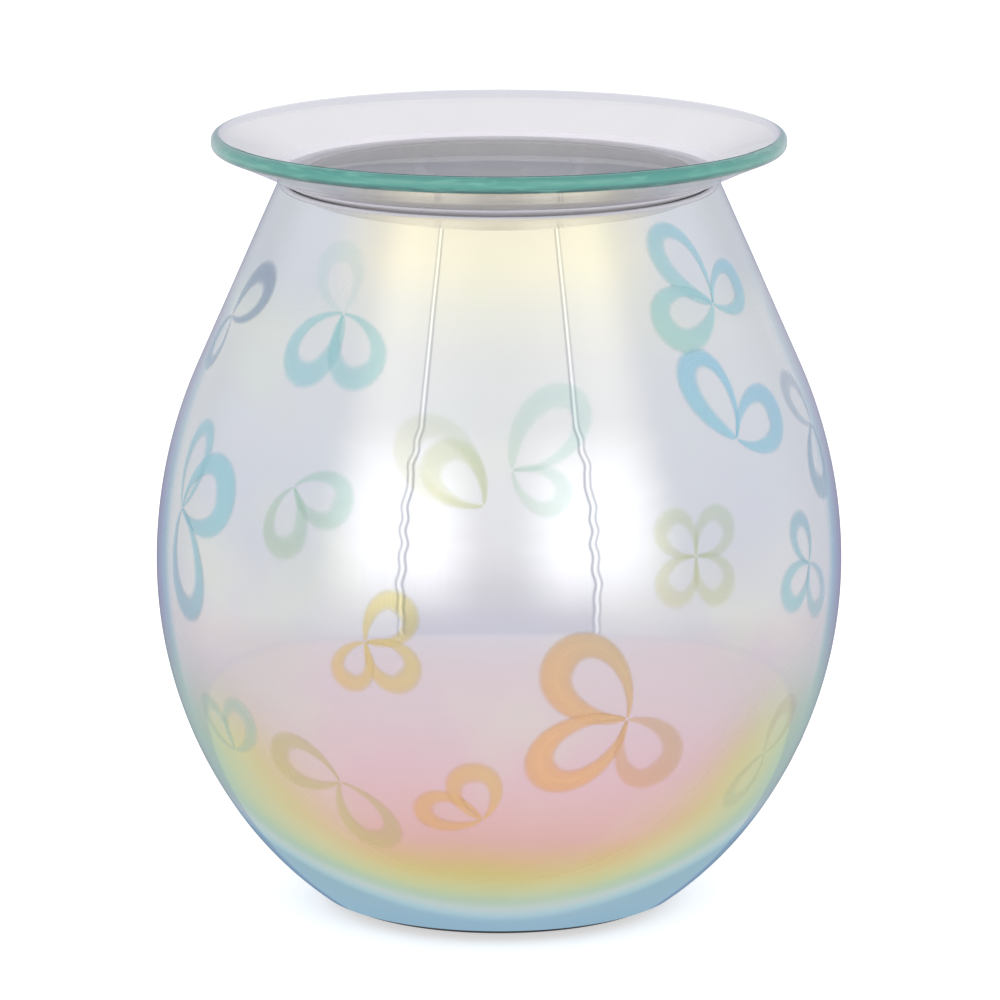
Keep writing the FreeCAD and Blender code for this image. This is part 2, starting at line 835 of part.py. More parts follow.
def hex_pieces(label, places, count, low, height, bore, spin=0, along=0):
    """Identical hexagonal nuts or spacers around the middle."""
    body = new_body(label)
    sketch = sketch_on(body, "hexagon", "XY_Plane", low)
    hexagon(sketch, places, along, named("nut_corner_radius"))
    circle(sketch, places, along, bore)
    made = pad(body, "pad", sketch, height)
    if count > 1:
        repeat(body, [made], count)
    place(body, spin=spin)
    return body


def lamp_bracket():
    body = new_body("lamp_bracket")
    sketch = sketch_on(body, "strip", "XZ_Plane")
    sheet_thick = named("bracket_sheet")
    span = bracket_span
    end = bracket_end
    low = cover_deck_top
    top = bracket_top
    outline(sketch, [
        (-end, low),
        (-span + sheet_thick, low),
        (-span + sheet_thick, top - sheet_thick),
        (span - sheet_thick, top - sheet_thick),
        (span - sheet_thick, low),
        (end, low),
        (end, low + sheet_thick),
        (span, low + sheet_thick),
        (span, top),
        (-span, top),
        (-span, low + sheet_thick),
        (-end, low + sheet_thick),
    ])
    strip = pad(body, "strip_pad", sketch, named("bracket_width"), both_ways=True)
    outer_x, top_z = span.number, top.number
    wide, near = named("bracket_width").number, named("near").number

    def at_bend(edge):
        ends = [vertex.Point for vertex in edge.Vertexes]
        flat = abs(abs(ends[0].y - ends[-1].y) - wide) < near
        return flat and abs(abs(ends[0].x) - outer_x) < near and abs(ends[0].z - top_z) < near

    rounded_edges(body, strip, "bends", named("bracket_bend"), at_bend)
    holes = [(bracket_place, 0, screw_hole), (-bracket_place, 0, screw_hole)]
    holes += [(holder_place, 0, screw_hole), (-holder_place, 0, screw_hole)]
    drill(body, "holes", top + named("overrun"), named("bracket_height") + named("overrun") * 2, holes)
    return body


def holder_base():
    body = new_body("holder_base")
    sketch = sketch_on(body, "disc", "XY_Plane", bracket_top)
    circle(sketch, 0, 0, named("holder_radius"))
    circle(sketch, holder_place, 0, screw_hole)
    circle(sketch, -holder_place, 0, screw_hole)
    pad(body, "disc_pad", sketch, named("holder_base_height"))
    slots = sketch_on(body, "tail_slots", "XY_Plane", holder_split + named("overrun"))
    half = named("contact_half_width") + named("screw_clearance")
    gap = named("screw_clearance")
    near = contact_tail - gap
    far = contact_tail + named("contact_sheet") + gap
    box_outline(slots, -half, half, near, far)
    box_outline(slots, -half, half, -far, -near)
    pocket(body, "tail_slots_cut", slots, named("holder_base_height") + named("overrun") * 2)
    return body


def holder_body():
    """Upper ceramic half: under each keyhole is a room that the head of the lamp's pin turns in."""
    body = new_body("holder_body")
    chamfer = named("holder_chamfer")
    radius = named("holder_radius")
    section = sketch_on(body, "section", "XZ_Plane")
    outline(section, [
        (0, holder_split),
        (radius, holder_split),
        (radius, holder_top - chamfer),
        (radius - chamfer, holder_top),
        (0, holder_top),
    ])
    turn(body, "turn", section, "V_Axis")
    top = holder_top + named("overrun")
    through = named("holder_top_height") + named("overrun") * 2
    sunk = named("holder_sink") + named("overrun")
    places = (holder_place, -holder_place)
    drill(body, "screw_holes", top, through, [(across, 0, screw_hole) for across in places])
    head_room = named("head_radius") + named("screw_clearance")
    drill(body, "head_rooms", top, sunk, [(across, 0, head_room) for across in places])
    pin_place = named("pin_circle")
    slot = named("pin_radius") + named("pin_side_clearance")
    room = named("pin_head_radius") + named("pin_head_clearance")
    entry = named("pin_head_radius") + named("pin_side_clearance")
    room_top = lamp_low - named("pin_length") + named("pin_head_height") + named("pin_under_clearance")
    swung = (-(pin_place * sine(named("lock_angle"))), pin_place * cosine(named("lock_angle")))
    cuts = []
    for name, half, low, high in (
            ("stem_way", slot, room_top - named("overrun"), top),
            ("head_way", room, holder_split - named("overrun"), room_top)):
        way = sketch_on(body, name, "YZ_Plane")
        box_outline(way, pin_place - half, pin_place + half, low, high)
        cuts.append(turn(body, f"{name}_cut", way, "V_Axis", "PartDesign::Groove", named("lock_angle")))
        ends = [(0, pin_place, half)]
        cuts.append(drill(body, f"{name}_start", high, high - low, ends))
        ends = [(swung[0], swung[1], half)]
        cuts.append(drill(body, f"{name}_end", high, high - low, ends))
    cuts.append(drill(body, "entry", top, top - holder_split, [(swung[0], swung[1], entry)]))
    contact_space = sketch_on(body, "contact_space", "XY_Plane", holder_split)
    half = named("contact_half_width") + named("contact_room")
    far = contact_tail + named("contact_sheet") + named("contact_room")
    box_outline(contact_space, -half, half, named("contact_inner") - named("contact_room"), far)
    height = named("contact_spring_lift") + named("contact_sheet") + named("contact_room")
    cuts.append(pocket(body, "contact_space_cut", contact_space, height, reverse=True))
    repeat(body, cuts, TWO_WAYS)
    return body


def contact(label, spin):
    """A bent strip: a spring leaf under the pin, a foot on the ceramic and a tail down through it."""
    body = new_body(label)
    sketch = sketch_on(body, "strip", "YZ_Plane")
    thick = named("contact_sheet")
    inner = named("contact_inner")
    tail = contact_tail
    lift = named("contact_spring_lift")
    leaf_end = named("pin_circle") + named("pin_head_radius")
    outline(sketch, [
        (inner, holder_split + lift),
        (leaf_end, holder_split + lift),
        (tail, holder_split),
        (tail, bracket_top - named("low_head_height")),
        (tail + thick, bracket_top - named("low_head_height")),
        (tail + thick, holder_split + thick),
        (leaf_end + thick, holder_split + lift + thick),
        (inner, holder_split + lift + thick),
    ])
    pad(body, "strip_pad", sketch, named("contact_half_width") * 2, both_ways=True)
    place(body, spin=spin)
    return body


def bulb_base():
    clearance = named("lamp_socket_clearance")
    socket = named("lamp_neck_radius") + clearance
    radius = named("lamp_base_radius")
    waist = named("lamp_base_waist")
    shoulder = lamp_low + named("lamp_base_block")
    corners = [
        (0, lamp_low),
        (radius, lamp_low),
        (radius, shoulder),
        (waist, shoulder + named("lamp_base_flare")),
        (waist, lamp_base_top),
        (socket, lamp_base_top),
        (socket, socket_floor),
        (0, socket_floor),
    ]
    return turned("bulb_base", corners)


def bulb_pins():
    low = lamp_low - named("pin_length")
    head, stem = named("pin_head_radius"), named("pin_radius")
    neck = low + named("pin_head_height")
    section = [
        (as_size(0), low),
        (head, low),
        (head, neck),
        (stem, neck),
        (stem, lamp_low),
        (as_size(0), lamp_low),
    ]
    body = turned_at("bulb_pins", "YZ_Plane", named("pin_circle"), section)
    repeat(body, [body.Tip], TWO_WAYS)
    return body


def bulb_reflector():
    neck, radius, wall = named("lamp_neck_radius"), named("lamp_radius"), named("lamp_wall")
    ledge = lamp_top - named("lens_thick")
    arc = named("lamp_bowl_arc")
    corners = [
        (neck - wall, socket_floor),
        (neck, socket_floor),
        (neck, bowl_low, arc, 1),
        (radius, bowl_high),
        (radius, lamp_top),
        (radius - wall, lamp_top),
        (radius - wall, ledge),
        (radius - wall - named("lens_ledge"), ledge),
        (radius - wall - named("lens_ledge"), bowl_high, arc, -1),
        (neck - wall, bowl_low + wall),
    ]
    return turned("bulb_reflector", corners)


def bulb_lens():
    radius = named("lamp_radius") - named("lamp_wall") - named("lens_clearance")
    corners = [
        (0, lamp_top - named("lens_thick")),
        (radius, lamp_top - named("lens_thick")),
        (radius, lamp_top),
        (0, lamp_top),
    ]
    return turned("bulb_lens", corners)


def bulb_capsule():
    radius, wall = named("capsule_radius"), named("capsule_wall")
    shoulder = socket_floor + named("capsule_height")
    corners = [
        (radius - wall, socket_floor),
        (radius, socket_floor),
        (radius, shoulder, radius, 1),
        (0, shoulder + radius),
        (0, shoulder + radius - wall, radius - wall, -1),
        (radius - wall, shoulder),
    ]
    return turned("bulb_capsule", corners)


def tube(label, spots, radius):
    """A round wire along straight runs joined by tangent arcs, as wide as the runs allow."""
    lengths = [(after - before).Length for before, after in zip(spots, spots[1:])]
    edges = []
    start = spots[0]
    for index in range(1, len(spots) - 1):
        back = (spots[index - 1] - spots[index]).normalize()
        ahead = (spots[index + 1] - spots[index]).normalize()
        reach = RUN_SHARE * min(lengths[index - 1], lengths[index])
        half_turn = (math.pi - back.getAngle(ahead)) / 2
        bend = reach / math.tan(half_turn)
        enter = spots[index] + back * reach
        leave = spots[index] + ahead * reach
        inward = (back + ahead).normalize()
        middle = spots[index] + inward * (bend / math.cos(half_turn) - bend)
        edges.append(Part.LineSegment(start, enter).toShape())
        edges.append(Part.Arc(enter, middle, leave).toShape())
        print(f"{label}: bend {index} radius {bend:.2f}")
        start = leave
    edges.append(Part.LineSegment(start, spots[-1]).toShape())
    path = Part.Wire(edges)
    heading = (spots[1] - spots[0]).normalize()
    ring = Part.Wire([Part.Circle(spots[0], heading, radius).toShape()])
    solid = path.makePipeShell([ring], True, False)
    expected = math.pi * radius ** 2 * path.Length
    print(f"{label}: length {path.Length:.1f}, volume {solid.Volume:.1f} of {expected:.1f}")
    return solid


def solid_piece(label, shape):
    piece = doc.addObject("Part::Feature", label)
    piece.Label = label
    piece.Shape = shape
    piece.Placement = FreeCAD.Placement(Vector(0, 0, 0), Rotation())
    return piece


def spot(across, along, level):
    return Vector(as_size(across).number, as_size(along).number, as_size(level).number)


def bulb_filament():
    half = named("filament_half_width")
    top = socket_floor + named("filament_height")
    spots = [spot(-half, 0, socket_floor), spot(-half, 0, top),
             spot(half, 0, top), spot(half, 0, socket_floor)]
    return solid_piece("bulb_filament", tube("bulb_filament", spots, named("filament_wire").number))


def lead(label, spots, core_ends):
    """An insulated wire with bare cores at the ends that core_ends names: 0 for the first, 1 for the last."""
    shape = tube(label, spots, named("lead_radius").number)
    core = named("lead_core_radius").number
    strip = named("lead_strip").number
    for end in core_ends:
        tip, inner = (spots[0], spots[1]) if end == 0 else (spots[-1], spots[-2])
        outward = (tip - inner).normalize()
        bare = Part.makeCylinder(core, strip + core, tip - outward * core, outward)
        shape = shape.fuse(bare)
    return solid_piece(label, shape.removeSplitter())


# The mounting screw of the terminal block stands halfway along it
block_middle = (named("block_rear") - named("block_front")) * HALF_SHARE


def lead_ends(side):
    """The last stretch of a lamp lead: down through the bush and back into its terminal."""
    pair, pole = named("lead_pair_place") * side, named("block_pitch") * side
    bush = -bush_place
    mouth = -(named("block_front") - named("insert_set_back")) - named("insert_clearance")
    return [
        spot(pair, bush, cover_deck_top + named("lead_cross_height")),
        spot(pair, bush, pan_deck_low - named("lead_turn_drop")),
        spot(pole, bush + named("lead_turn_inset"), insert_level),
        spot(pole, mouth, insert_level),
    ]


def live_lead():
    tail = contact_tail + named("contact_sheet") * HALF_SHARE
    top = bracket_top - named("low_head_height")
    hang = top - named("lead_hang")
    spots = [spot(0, tail, top), spot(0, tail, hang)] + lead_ends(1)
    return lead("live_lead", spots, [1])


def neutral_lead():
    tail = -(contact_tail + named("contact_sheet") * HALF_SHARE)
    top = bracket_top - named("low_head_height")
    hang = top - named("lead_hang") * HALF_SHARE
    spots = [spot(0, tail, top), spot(0, tail, hang)] + lead_ends(-1)
    return lead("neutral_lead", spots, [1])


def earth_lead():
    mouth = -(named("block_front") - named("insert_set_back")) - named("insert_clearance")
    dip = insert_level - named("earth_dip")
    under_tag = pan_deck_low - named("tag_sheet") - named("lead_radius")
    tag_end = -named("earth_across") + named("tag_tongue_length")
    spots = [
        spot(0, mouth, insert_level),
        spot(0, -named("earth_front") * HALF_SHARE, insert_level),
        spot(0, -named("earth_front"), dip),
        spot(named("tag_radius"), -earth_along, under_tag - named("earth_dip")),
        spot(tag_end, -earth_along, under_tag),
        spot(tag_end - named("tag_radius") * HALF_SHARE, -earth_along, under_tag),
    ]
    return lead("earth_lead", spots, [0])


def earth_tag():
    body = new_body("earth_tag")
    low = pan_deck_low - named("tag_sheet")
    half = named("tag_tongue_half_width")
    across, along = -named("earth_across"), -earth_along
    ring = sketch_on(body, "ring", "XY_Plane", low)
    circle(ring, across, along, named("tag_radius"))
    pad(body, "ring_pad", ring, named("tag_sheet"))
    tongue = sketch_on(body, "tongue", "XY_Plane", low)
    box_outline(tongue, across, across + named("tag_tongue_length"), along - half, along + half)
    pad(body, "tongue_pad", tongue, named("tag_sheet"))
    drill(body, "hole", pan_deck_low + named("overrun"), named("overrun") * 2, [(across, along, screw_hole)])
    return body


def earth_screw():
    tip = pan_deck_low - named("tag_sheet") - named("nut_height") - named("thread_beyond_nut")
    head = named("head_height")
    section = screw_section(cover_deck_top, tip, named("head_radius"), head, named("screw_radius"))
    across, along = -named("earth_across"), -earth_along
    body = new_body("earth_screw")
    sketch = sketch_on(body, "section", "XZ_Plane")
    outline(sketch, section)
    turn(body, "turn", sketch, "V_Axis")
    slot_head(body, as_size(0), cover_deck_top + head)
    place(body, across, along)
    return body


def earth_nut():
    body = new_body("earth_nut")
    sketch = sketch_on(body, "hexagon", "XY_Plane")
    hexagon(sketch, 0, 0, named("nut_corner_radius"))
    circle(sketch, 0, 0, named("screw_radius") + named("insert_clearance"))
    pad(body, "pad", sketch, named("nut_height"))
    low = pan_deck_low - named("tag_sheet") - named("nut_height")
    place(body, -named("earth_across"), -earth_along, low)
    return body


def terminal_block():
    body = new_body("terminal_block")
    sketch = sketch_on(body, "block", "XY_Plane", block_low)
    half = block_half
    box_outline(sketch, -half, half, -named("block_front"), named("block_rear"))
    pad(body, "block_pad", sketch, named("block_height"))
    bores = sketch_on(body, "bores", "XZ_Plane", named("block_front") + named("overrun"))
    bore = named("insert_radius") + named("insert_clearance")
    for pole in (-1, 0, 1):
        circle(bores, named("block_pitch") * pole, insert_level, bore)
    length = named("block_front") + named("block_rear") + named("overrun") * 2
    pocket(body, "bores_cut", bores, length)
    low = block_low - named("overrun")
    wells = sketch_on(body, "wells", "XY_Plane", low)
    head = named("terminal_head_radius") + named("screw_clearance")
    for along in terminal_rows():
        for pole in (-1, 0, 1):
            circle(wells, named("block_pitch") * pole, along, head)
    pocket(body, "wells_cut", wells, named("overrun") + named("insert_level"), reverse=True)
    mount = sketch_on(body, "mount_hole", "XY_Plane", low)
    circle(mount, named("block_pitch") * HALF_SHARE, block_middle,
           named("block_screw_radius") + named("insert_clearance"))
    pocket(body, "mount_cut", mount, named("block_height") + named("overrun") * 2, reverse=True)
    return body


def terminal_rows():
    inset = named("terminal_screw_inset")
    return [-named("block_front") + inset, named("block_rear") - inset]


def terminal_inserts():
    body = new_body("terminal_inserts")
    front = named("block_front") - named("insert_set_back")
    length = front + named("block_rear") - named("insert_set_back")
    sketch = sketch_on(body, "rings", "XZ_Plane", front)
    for pole in (-1, 0, 1):
        circle(sketch, named("block_pitch") * pole, insert_level, named("insert_radius"))
        circle(sketch, named("block_pitch") * pole, insert_level, named("insert_bore"))
    rings = pad(body, "rings_pad", sketch, length)
    rings.Reversed = True
    holes = sketch_on(body, "screw_holes", "XY_Plane", insert_level)
    for along in terminal_rows():
        for pole in (-1, 0, 1):
            circle(holes, named("block_pitch") * pole, along,
                   named("terminal_screw_radius") + named("insert_clearance"))
    pocket(body, "screw_holes_cut", holes, named("insert_radius") + named("overrun"))
    return body


def terminal_screws():
    """Six grub screws, reached from below, that pinch the cores in the inserts."""
    body = new_body("terminal_screws")
    low = block_low + named("terminal_head_sink")
    head_top = insert_level - named("insert_radius") - named("insert_clearance")
    tip = insert_level - named("lead_core_radius")
    shanks = sketch_on(body, "shanks", "XY_Plane", low)
    heads = sketch_on(body, "heads", "XY_Plane", low)
    for along in terminal_rows():
        for pole in (-1, 0, 1):
            circle(shanks, named("block_pitch") * pole, along, named("terminal_screw_radius"))
            circle(heads, named("block_pitch") * pole, along, named("terminal_head_radius"))
    pad(body, "shanks_pad", shanks, tip - low)
    pad(body, "heads_pad", heads, (head_top - low) * HALF_SHARE)
    return body


def block_screw():
    """The terminal block hangs from the deck on one screw, its head below."""
    low = block_low - named("low_head_height")
    under = block_low
    head, shank = named("terminal_head_radius"), named("block_screw_radius")
    body = new_body("block_screw")
    sketch = sketch_on(body, "section", "XZ_Plane")
    outline(sketch, [
        (0, low),
        (head, low),
        (head, under),
        (shank, under),
        (shank, pan_deck_top),
        (0, pan_deck_top),
    ])
    turn(body, "turn", sketch, "V_Axis")
    place(body, named("block_pitch") * HALF_SHARE, block_middle)
    return body


def deck_grommet():
    bore, neck, flange = named("bush_bore"), named("bush_neck"), named("bush_flange")
    thick = named("bush_flange_thick")
    body = new_body("deck_grommet")
    sketch = sketch_on(body, "section", "XZ_Plane")
    outline(sketch, [
        (bore, pan_deck_low - thick),
        (flange, pan_deck_low - thick),
        (flange, pan_deck_low),
        (neck, pan_deck_low),
        (neck, cover_deck_top),
        (flange, cover_deck_top),
        (flange, cover_deck_top + thick),
        (bore, cover_deck_top + thick),
    ])
    turn(body, "turn", sketch, "V_Axis")
    place(body, 0, -bush_place)
    return body


def cord_gland():
    """A rubber sleeve from inside the drum out through the notch in the glass."""
    body = new_body("cord_gland")
    sketch = sketch_on(body, "section", "YZ_Plane")
    bore, radius = named("gland_bore"), named("gland_radius")
    head = named("gland_head_radius")
    wall_in = pan_drum - named("pan_sheet") - named("gland_seat_gap")
    start = wall_in - named("gland_head_thick")
    end = outer_edge + named("gland_beyond")
    outline(sketch, [
        (start, bore),
        (end, bore),
        (end, radius - named("gland_end_step")),
        (end - named("gland_end_length"), radius),
        (wall_in, radius),
        (wall_in, head),
        (start, head),
    ])
    turn(body, "turn", sketch, "H_Axis")
    place(body, level=gland_level)
    return body


def warmer():
    """Makes every piece and gives them back in the order of their names' first use."""
    pieces = [glass_dish(), glass_shade_upper(), glass_shade_lower()]
    pieces += [base_pan(), clamp_cover(), clamp_gasket(), seat_gasket(), bottom_cover()]
    pieces.append(foot("foot_right", foot_circle, 0))
    pieces.append(foot("foot_left", -foot_circle, 0))
    pieces.append(foot("foot_rear", 0, foot_circle))
    pieces.append(foot("foot_front", 0, -foot_circle))
    clamp_tip = pan_deck_low - named("screw_engagement")
    pieces.append(screws("clamp_screws", clamp_circle, FOUR_WAYS, cover_deck_top, clamp_tip, DIAGONAL))
    bore = named("screw_radius") + named("insert_clearance")
    spacer = pan_deck_low - floor_top
    pieces.append(hex_pieces("standoffs", clamp_circle, FOUR_WAYS, floor_top, spacer, bore, DIAGONAL))
    pieces.append(cover_screws())
    pieces.append(lamp_bracket())
    foot_top = cover_deck_top + named("bracket_sheet")
    nut_low = pan_deck_low - named("nut_height")
    tip = nut_low - named("thread_beyond_nut")
    pieces.append(screws("bracket_screws", bracket_place, TWO_WAYS, foot_top, tip))
    pieces.append(hex_pieces("bracket_nuts", bracket_place, TWO_WAYS, nut_low, named("nut_height"), bore))
    pieces.append(holder_base())
    pieces.append(holder_body())
    pieces.append(contact("contact_live", 0))
    pieces.append(contact("contact_neutral", HALF_TURN))
    head_seat = holder_top - named("holder_sink")
    nut_low = bracket_under - named("nut_height")
    tip = nut_low - named("thread_beyond_nut")
    pieces.append(screws("holder_screws", holder_place, TWO_WAYS, head_seat, tip))
    pieces.append(hex_pieces("holder_nuts", holder_place, TWO_WAYS, nut_low, named("nut_height"), bore))
    pieces += [bulb_base(), bulb_pins(), bulb_reflector(), bulb_lens(), bulb_capsule(), bulb_filament()]
    pieces += [terminal_block(), terminal_inserts(), terminal_screws(), block_screw()]
    pieces += [live_lead(), neutral_lead(), earth_lead(), earth_tag(), earth_screw(), earth_nut()]
    pieces += [deck_grommet(), cord_gland()]
    return pieces


def check(pieces):
    for item in doc.Objects:
        if "Invalid" in item.State or "Error" in item.State:
            raise RuntimeError(f"{item.Label} failed: {item.State}")
    for piece in pieces:
        if piece.Shape.isNull() or not piece.Shape.isValid() or not piece.Shape.Solids:
            raise RuntimeError(f"{piece.Label} has no sound solid")


def write(pieces):
    os.makedirs("parts", exist_ok=True)
    for piece in pieces:
        piece.Shape.exportStep(os.path.join("parts", f"{piece.Label}.step"))
        box = piece.Shape.BoundBox
        print(f"{piece.Label}: {len(piece.Shape.Solids)} solids, volume {piece.Shape.Volume:.1f}, "
              f"z {box.ZMin:.2f} to {box.ZMax:.2f}")


pieces = warmer()
doc.recompute()
check(pieces)
write(pieces)
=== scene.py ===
import math

import bmesh
import bpy
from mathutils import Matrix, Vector


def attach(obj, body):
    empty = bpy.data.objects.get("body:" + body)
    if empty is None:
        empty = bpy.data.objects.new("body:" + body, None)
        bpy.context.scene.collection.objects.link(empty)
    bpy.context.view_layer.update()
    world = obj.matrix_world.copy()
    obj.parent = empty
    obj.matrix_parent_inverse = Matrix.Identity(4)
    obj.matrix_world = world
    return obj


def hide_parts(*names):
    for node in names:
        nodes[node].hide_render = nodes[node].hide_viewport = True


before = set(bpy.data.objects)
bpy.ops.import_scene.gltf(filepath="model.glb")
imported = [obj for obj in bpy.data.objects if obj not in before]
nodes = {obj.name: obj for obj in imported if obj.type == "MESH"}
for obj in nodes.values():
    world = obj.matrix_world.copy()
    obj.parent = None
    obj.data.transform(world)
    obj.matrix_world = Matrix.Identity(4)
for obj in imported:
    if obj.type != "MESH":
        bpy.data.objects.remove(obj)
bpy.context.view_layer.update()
scene = bpy.context.scene
MM = 0.001

# Outline of the shade's outer face, in millimetres: a foot arc, a belly arc, a shoulder arc and a cone
GLASS_LOW, MOUTH_LEVEL, MOUTH_RADIUS = 2.7, 136.5, 40.72
WIDEST_RADIUS, WIDEST_LEVEL = 63.8, 65.1
NECK_BEND, NECK_ANGLE = 91.3, math.radians(23.9)
BELLY_BEND, BELLY_TURN, FOOT_BEND = 81.7, math.radians(34.2), 70.1
WALL, MOUTH_ROUND = 2.5, 1.0
NECK_LEVEL = WIDEST_LEVEL + NECK_BEND * math.sin(NECK_ANGLE)
FOOT_ACROSS = WIDEST_RADIUS - BELLY_BEND + (BELLY_BEND - FOOT_BEND) * math.cos(BELLY_TURN)
FOOT_LEVEL = WIDEST_LEVEL - (BELLY_BEND - FOOT_BEND) * math.sin(BELLY_TURN)
# The cord's notch: its half width, the level of its arch, and where its cutters start and end behind the axis
NOTCH_HALF, NOTCH_LEVEL, NOTCH_NEAR, NOTCH_FAR = 4.5, 8.4, 20.0, 80.0
# Faces that meet at a larger angle keep a sharp edge, and a point nearer the axis than this lies on it
SHARP, ON_AXIS = math.radians(32), 1e-6


def shade_radius(level, inset=0.0):
    """Radius of the shade's face at a level, inset from the outside along the wall."""
    if level > NECK_LEVEL - inset * math.sin(NECK_ANGLE):
        return MOUTH_RADIUS - inset / math.cos(NECK_ANGLE) + (MOUTH_LEVEL - level) * math.tan(NECK_ANGLE)
    if level > WIDEST_LEVEL:
        return WIDEST_RADIUS - NECK_BEND + math.sqrt((NECK_BEND - inset) ** 2 - (level - WIDEST_LEVEL) ** 2)
    if level > WIDEST_LEVEL - (BELLY_BEND - inset) * math.sin(BELLY_TURN):
        return WIDEST_RADIUS - BELLY_BEND + math.sqrt((BELLY_BEND - inset) ** 2 - (level - WIDEST_LEVEL) ** 2)
    return FOOT_ACROSS + math.sqrt((FOOT_BEND - inset) ** 2 - (level - FOOT_LEVEL) ** 2)


def linear(red, green, blue):
    """A screen colour of 0 to 255 as a linear one."""
    values = [channel / 255 for channel in (red, green, blue)]
    return [v / 12.92 if v <= 0.04045 else ((v + 0.055) / 1.055) ** 2.4 for v in values] + [1.0]


def rounded(points, radius, steps=5):
    """The corner in the middle of three points, as an arc of that radius."""
    before, corner, after = (Vector(point) for point in points)
    back, ahead = (before - corner).normalized(), (after - corner).normalized()
    half = back.angle(ahead) / 2
    reach = radius / math.tan(half)
    centre = corner + (back + ahead).normalized() * (radius / math.sin(half))
    start, end = corner + back * reach - centre, corner + ahead * reach - centre
    spread = start.angle_signed(end)
    arc = []
    for step in range(steps + 1):
        turn = -spread * step / steps
        cos_turn, sin_turn = math.cos(turn), math.sin(turn)
        arc.append((centre.x + start.x * cos_turn - start.y * sin_turn,
                    centre.y + start.x * sin_turn + start.y * cos_turn))
    return arc


def lathe(name, section, zones, segments=256):
    """A round mesh from a closed section of (radius, level) in millimetres, with one zone for each run."""
    mesh = bpy.data.meshes.new(name)
    vertices, faces, face_zones, rings = [], [], [], []
    for radius, level in section:
        if radius < ON_AXIS:
            rings.append([len(vertices)])
            vertices.append((0, 0, level * MM))
            continue
        ring = []
        for step in range(segments):
            angle = 2 * math.pi * step / segments
            ring.append(len(vertices))
            vertices.append((radius * math.cos(angle) * MM, radius * math.sin(angle) * MM, level * MM))
        rings.append(ring)
    for index, ring in enumerate(rings):
        following = rings[(index + 1) % len(rings)]
        for step in range(segments):
            later = (step + 1) % segments
            if len(ring) == 1 and len(following) == 1:
                break
            if len(ring) == 1:
                faces.append((ring[0], following[later], following[step]))
            elif len(following) == 1:
                faces.append((ring[step], ring[later], following[0]))
            else:
                faces.append((ring[step], ring[later], following[later], following[step]))
            face_zones.append(zones[index])
    mesh.from_pydata(vertices, [], faces)
    mesh.update()
    mesh.polygons.foreach_set("material_index", face_zones)
    mesh.shade_smooth()
    mesh.set_sharp_from_angle(angle=SHARP)
    piece = bpy.data.objects.new(name, mesh)
    scene.collection.objects.link(piece)
    return piece


# Node helpers


class Net:
    """Short names for the nodes and links of one material or world."""

    def __init__(self, tree, end_kind="ShaderNodeOutputMaterial"):
        self.tree = tree
        self.tree.nodes.clear()
        self.end = self.add(end_kind)

    def add(self, kind, **settings):
        node = self.tree.nodes.new(kind)
        for key, value in settings.items():
            setattr(node, key, value)
        return node

    def join(self, source, target):
        self.tree.links.new(source, target)

    def feed(self, socket, value):
        if isinstance(value, bpy.types.NodeSocket):
            self.join(value, socket)
        else:
            socket.default_value = value

    def math(self, operation, first, second=0.0, third=0.0):
        node = self.add("ShaderNodeMath", operation=operation)
        for socket, value in zip(node.inputs, (first, second, third)):
            self.feed(socket, value)
        return node.outputs[0]

    def times(self, first, second):
        return self.math("MULTIPLY", first, second)

    def rise(self, value, low, high, smooth=True):
        """0 below low, 1 above high."""
        node = self.add("ShaderNodeMapRange", interpolation_type="SMOOTHSTEP" if smooth else "LINEAR")
        self.feed(node.inputs["Value"], value)
        node.inputs["From Min"].default_value = low
        node.inputs["From Max"].default_value = high
        return node.outputs["Result"]

    def fall(self, value, low, high):
        """1 below low, 0 above high."""
        return self.math("SUBTRACT", 1.0, self.rise(value, low, high))

    def span(self, value, low, high):
        """A value of 0 to 1 spread from low to high."""
        node = self.add("ShaderNodeMapRange", interpolation_type="LINEAR")
        self.feed(node.inputs["Value"], value)
        node.inputs["To Min"].default_value = low
        node.inputs["To Max"].default_value = high
        return node.outputs["Result"]

    def blend(self, share, first, second):
        node = self.add("ShaderNodeMix", data_type="RGBA")
        self.feed(node.inputs[0], share)
        self.feed(node.inputs[6], first)
        self.feed(node.inputs[7], second)
        return node.outputs[2]

    def noise(self, place, scale, detail=2.0, rough=0.5):
        node = self.add("ShaderNodeTexNoise")
        self.join(place, node.inputs["Vector"])
        node.inputs["Scale"].default_value = scale
        node.inputs["Detail"].default_value = detail
        node.inputs["Roughness"].default_value = rough
        return node.outputs["Fac"]

    def line_noise(self, value, scale):
        """Noise along one measure."""
        node = self.add("ShaderNodeTexNoise", noise_dimensions="1D")
        self.join(self.times(value, scale), node.inputs["W"])
        return node

    def ramp(self, value, stops, smooth="LINEAR"):
        node = self.add("ShaderNodeValToRGB")
        band = node.color_ramp
        band.interpolation = smooth
        while len(band.elements) < len(stops):
            band.elements.new(0.5)
        for element, (place, colour) in zip(band.elements, stops):
            element.position = place
            element.color = colour
        self.join(value, node.inputs["Fac"])
        return node.outputs["Color"]

    def bump(self, height, strength, distance):
        node = self.add("ShaderNodeBump")
        self.join(height, node.inputs["Height"])
        node.inputs["Strength"].default_value = strength
        node.inputs["Distance"].default_value = distance
        return node.outputs["Normal"]

    def surface(self, share, first, second):
        """Makes a mix of two shaders the surface."""
        either = self.add("ShaderNodeMixShader")
        self.join(share, either.inputs[0])
        self.join(first.outputs[0], either.inputs[1])
        self.join(second.outputs[0], either.inputs[2])
        self.join(either.outputs[0], self.end.inputs["Surface"])


def put(node, values):
    """Sets sockets by name."""
    for socket, value in values.items():
        node.inputs[socket].default_value = value


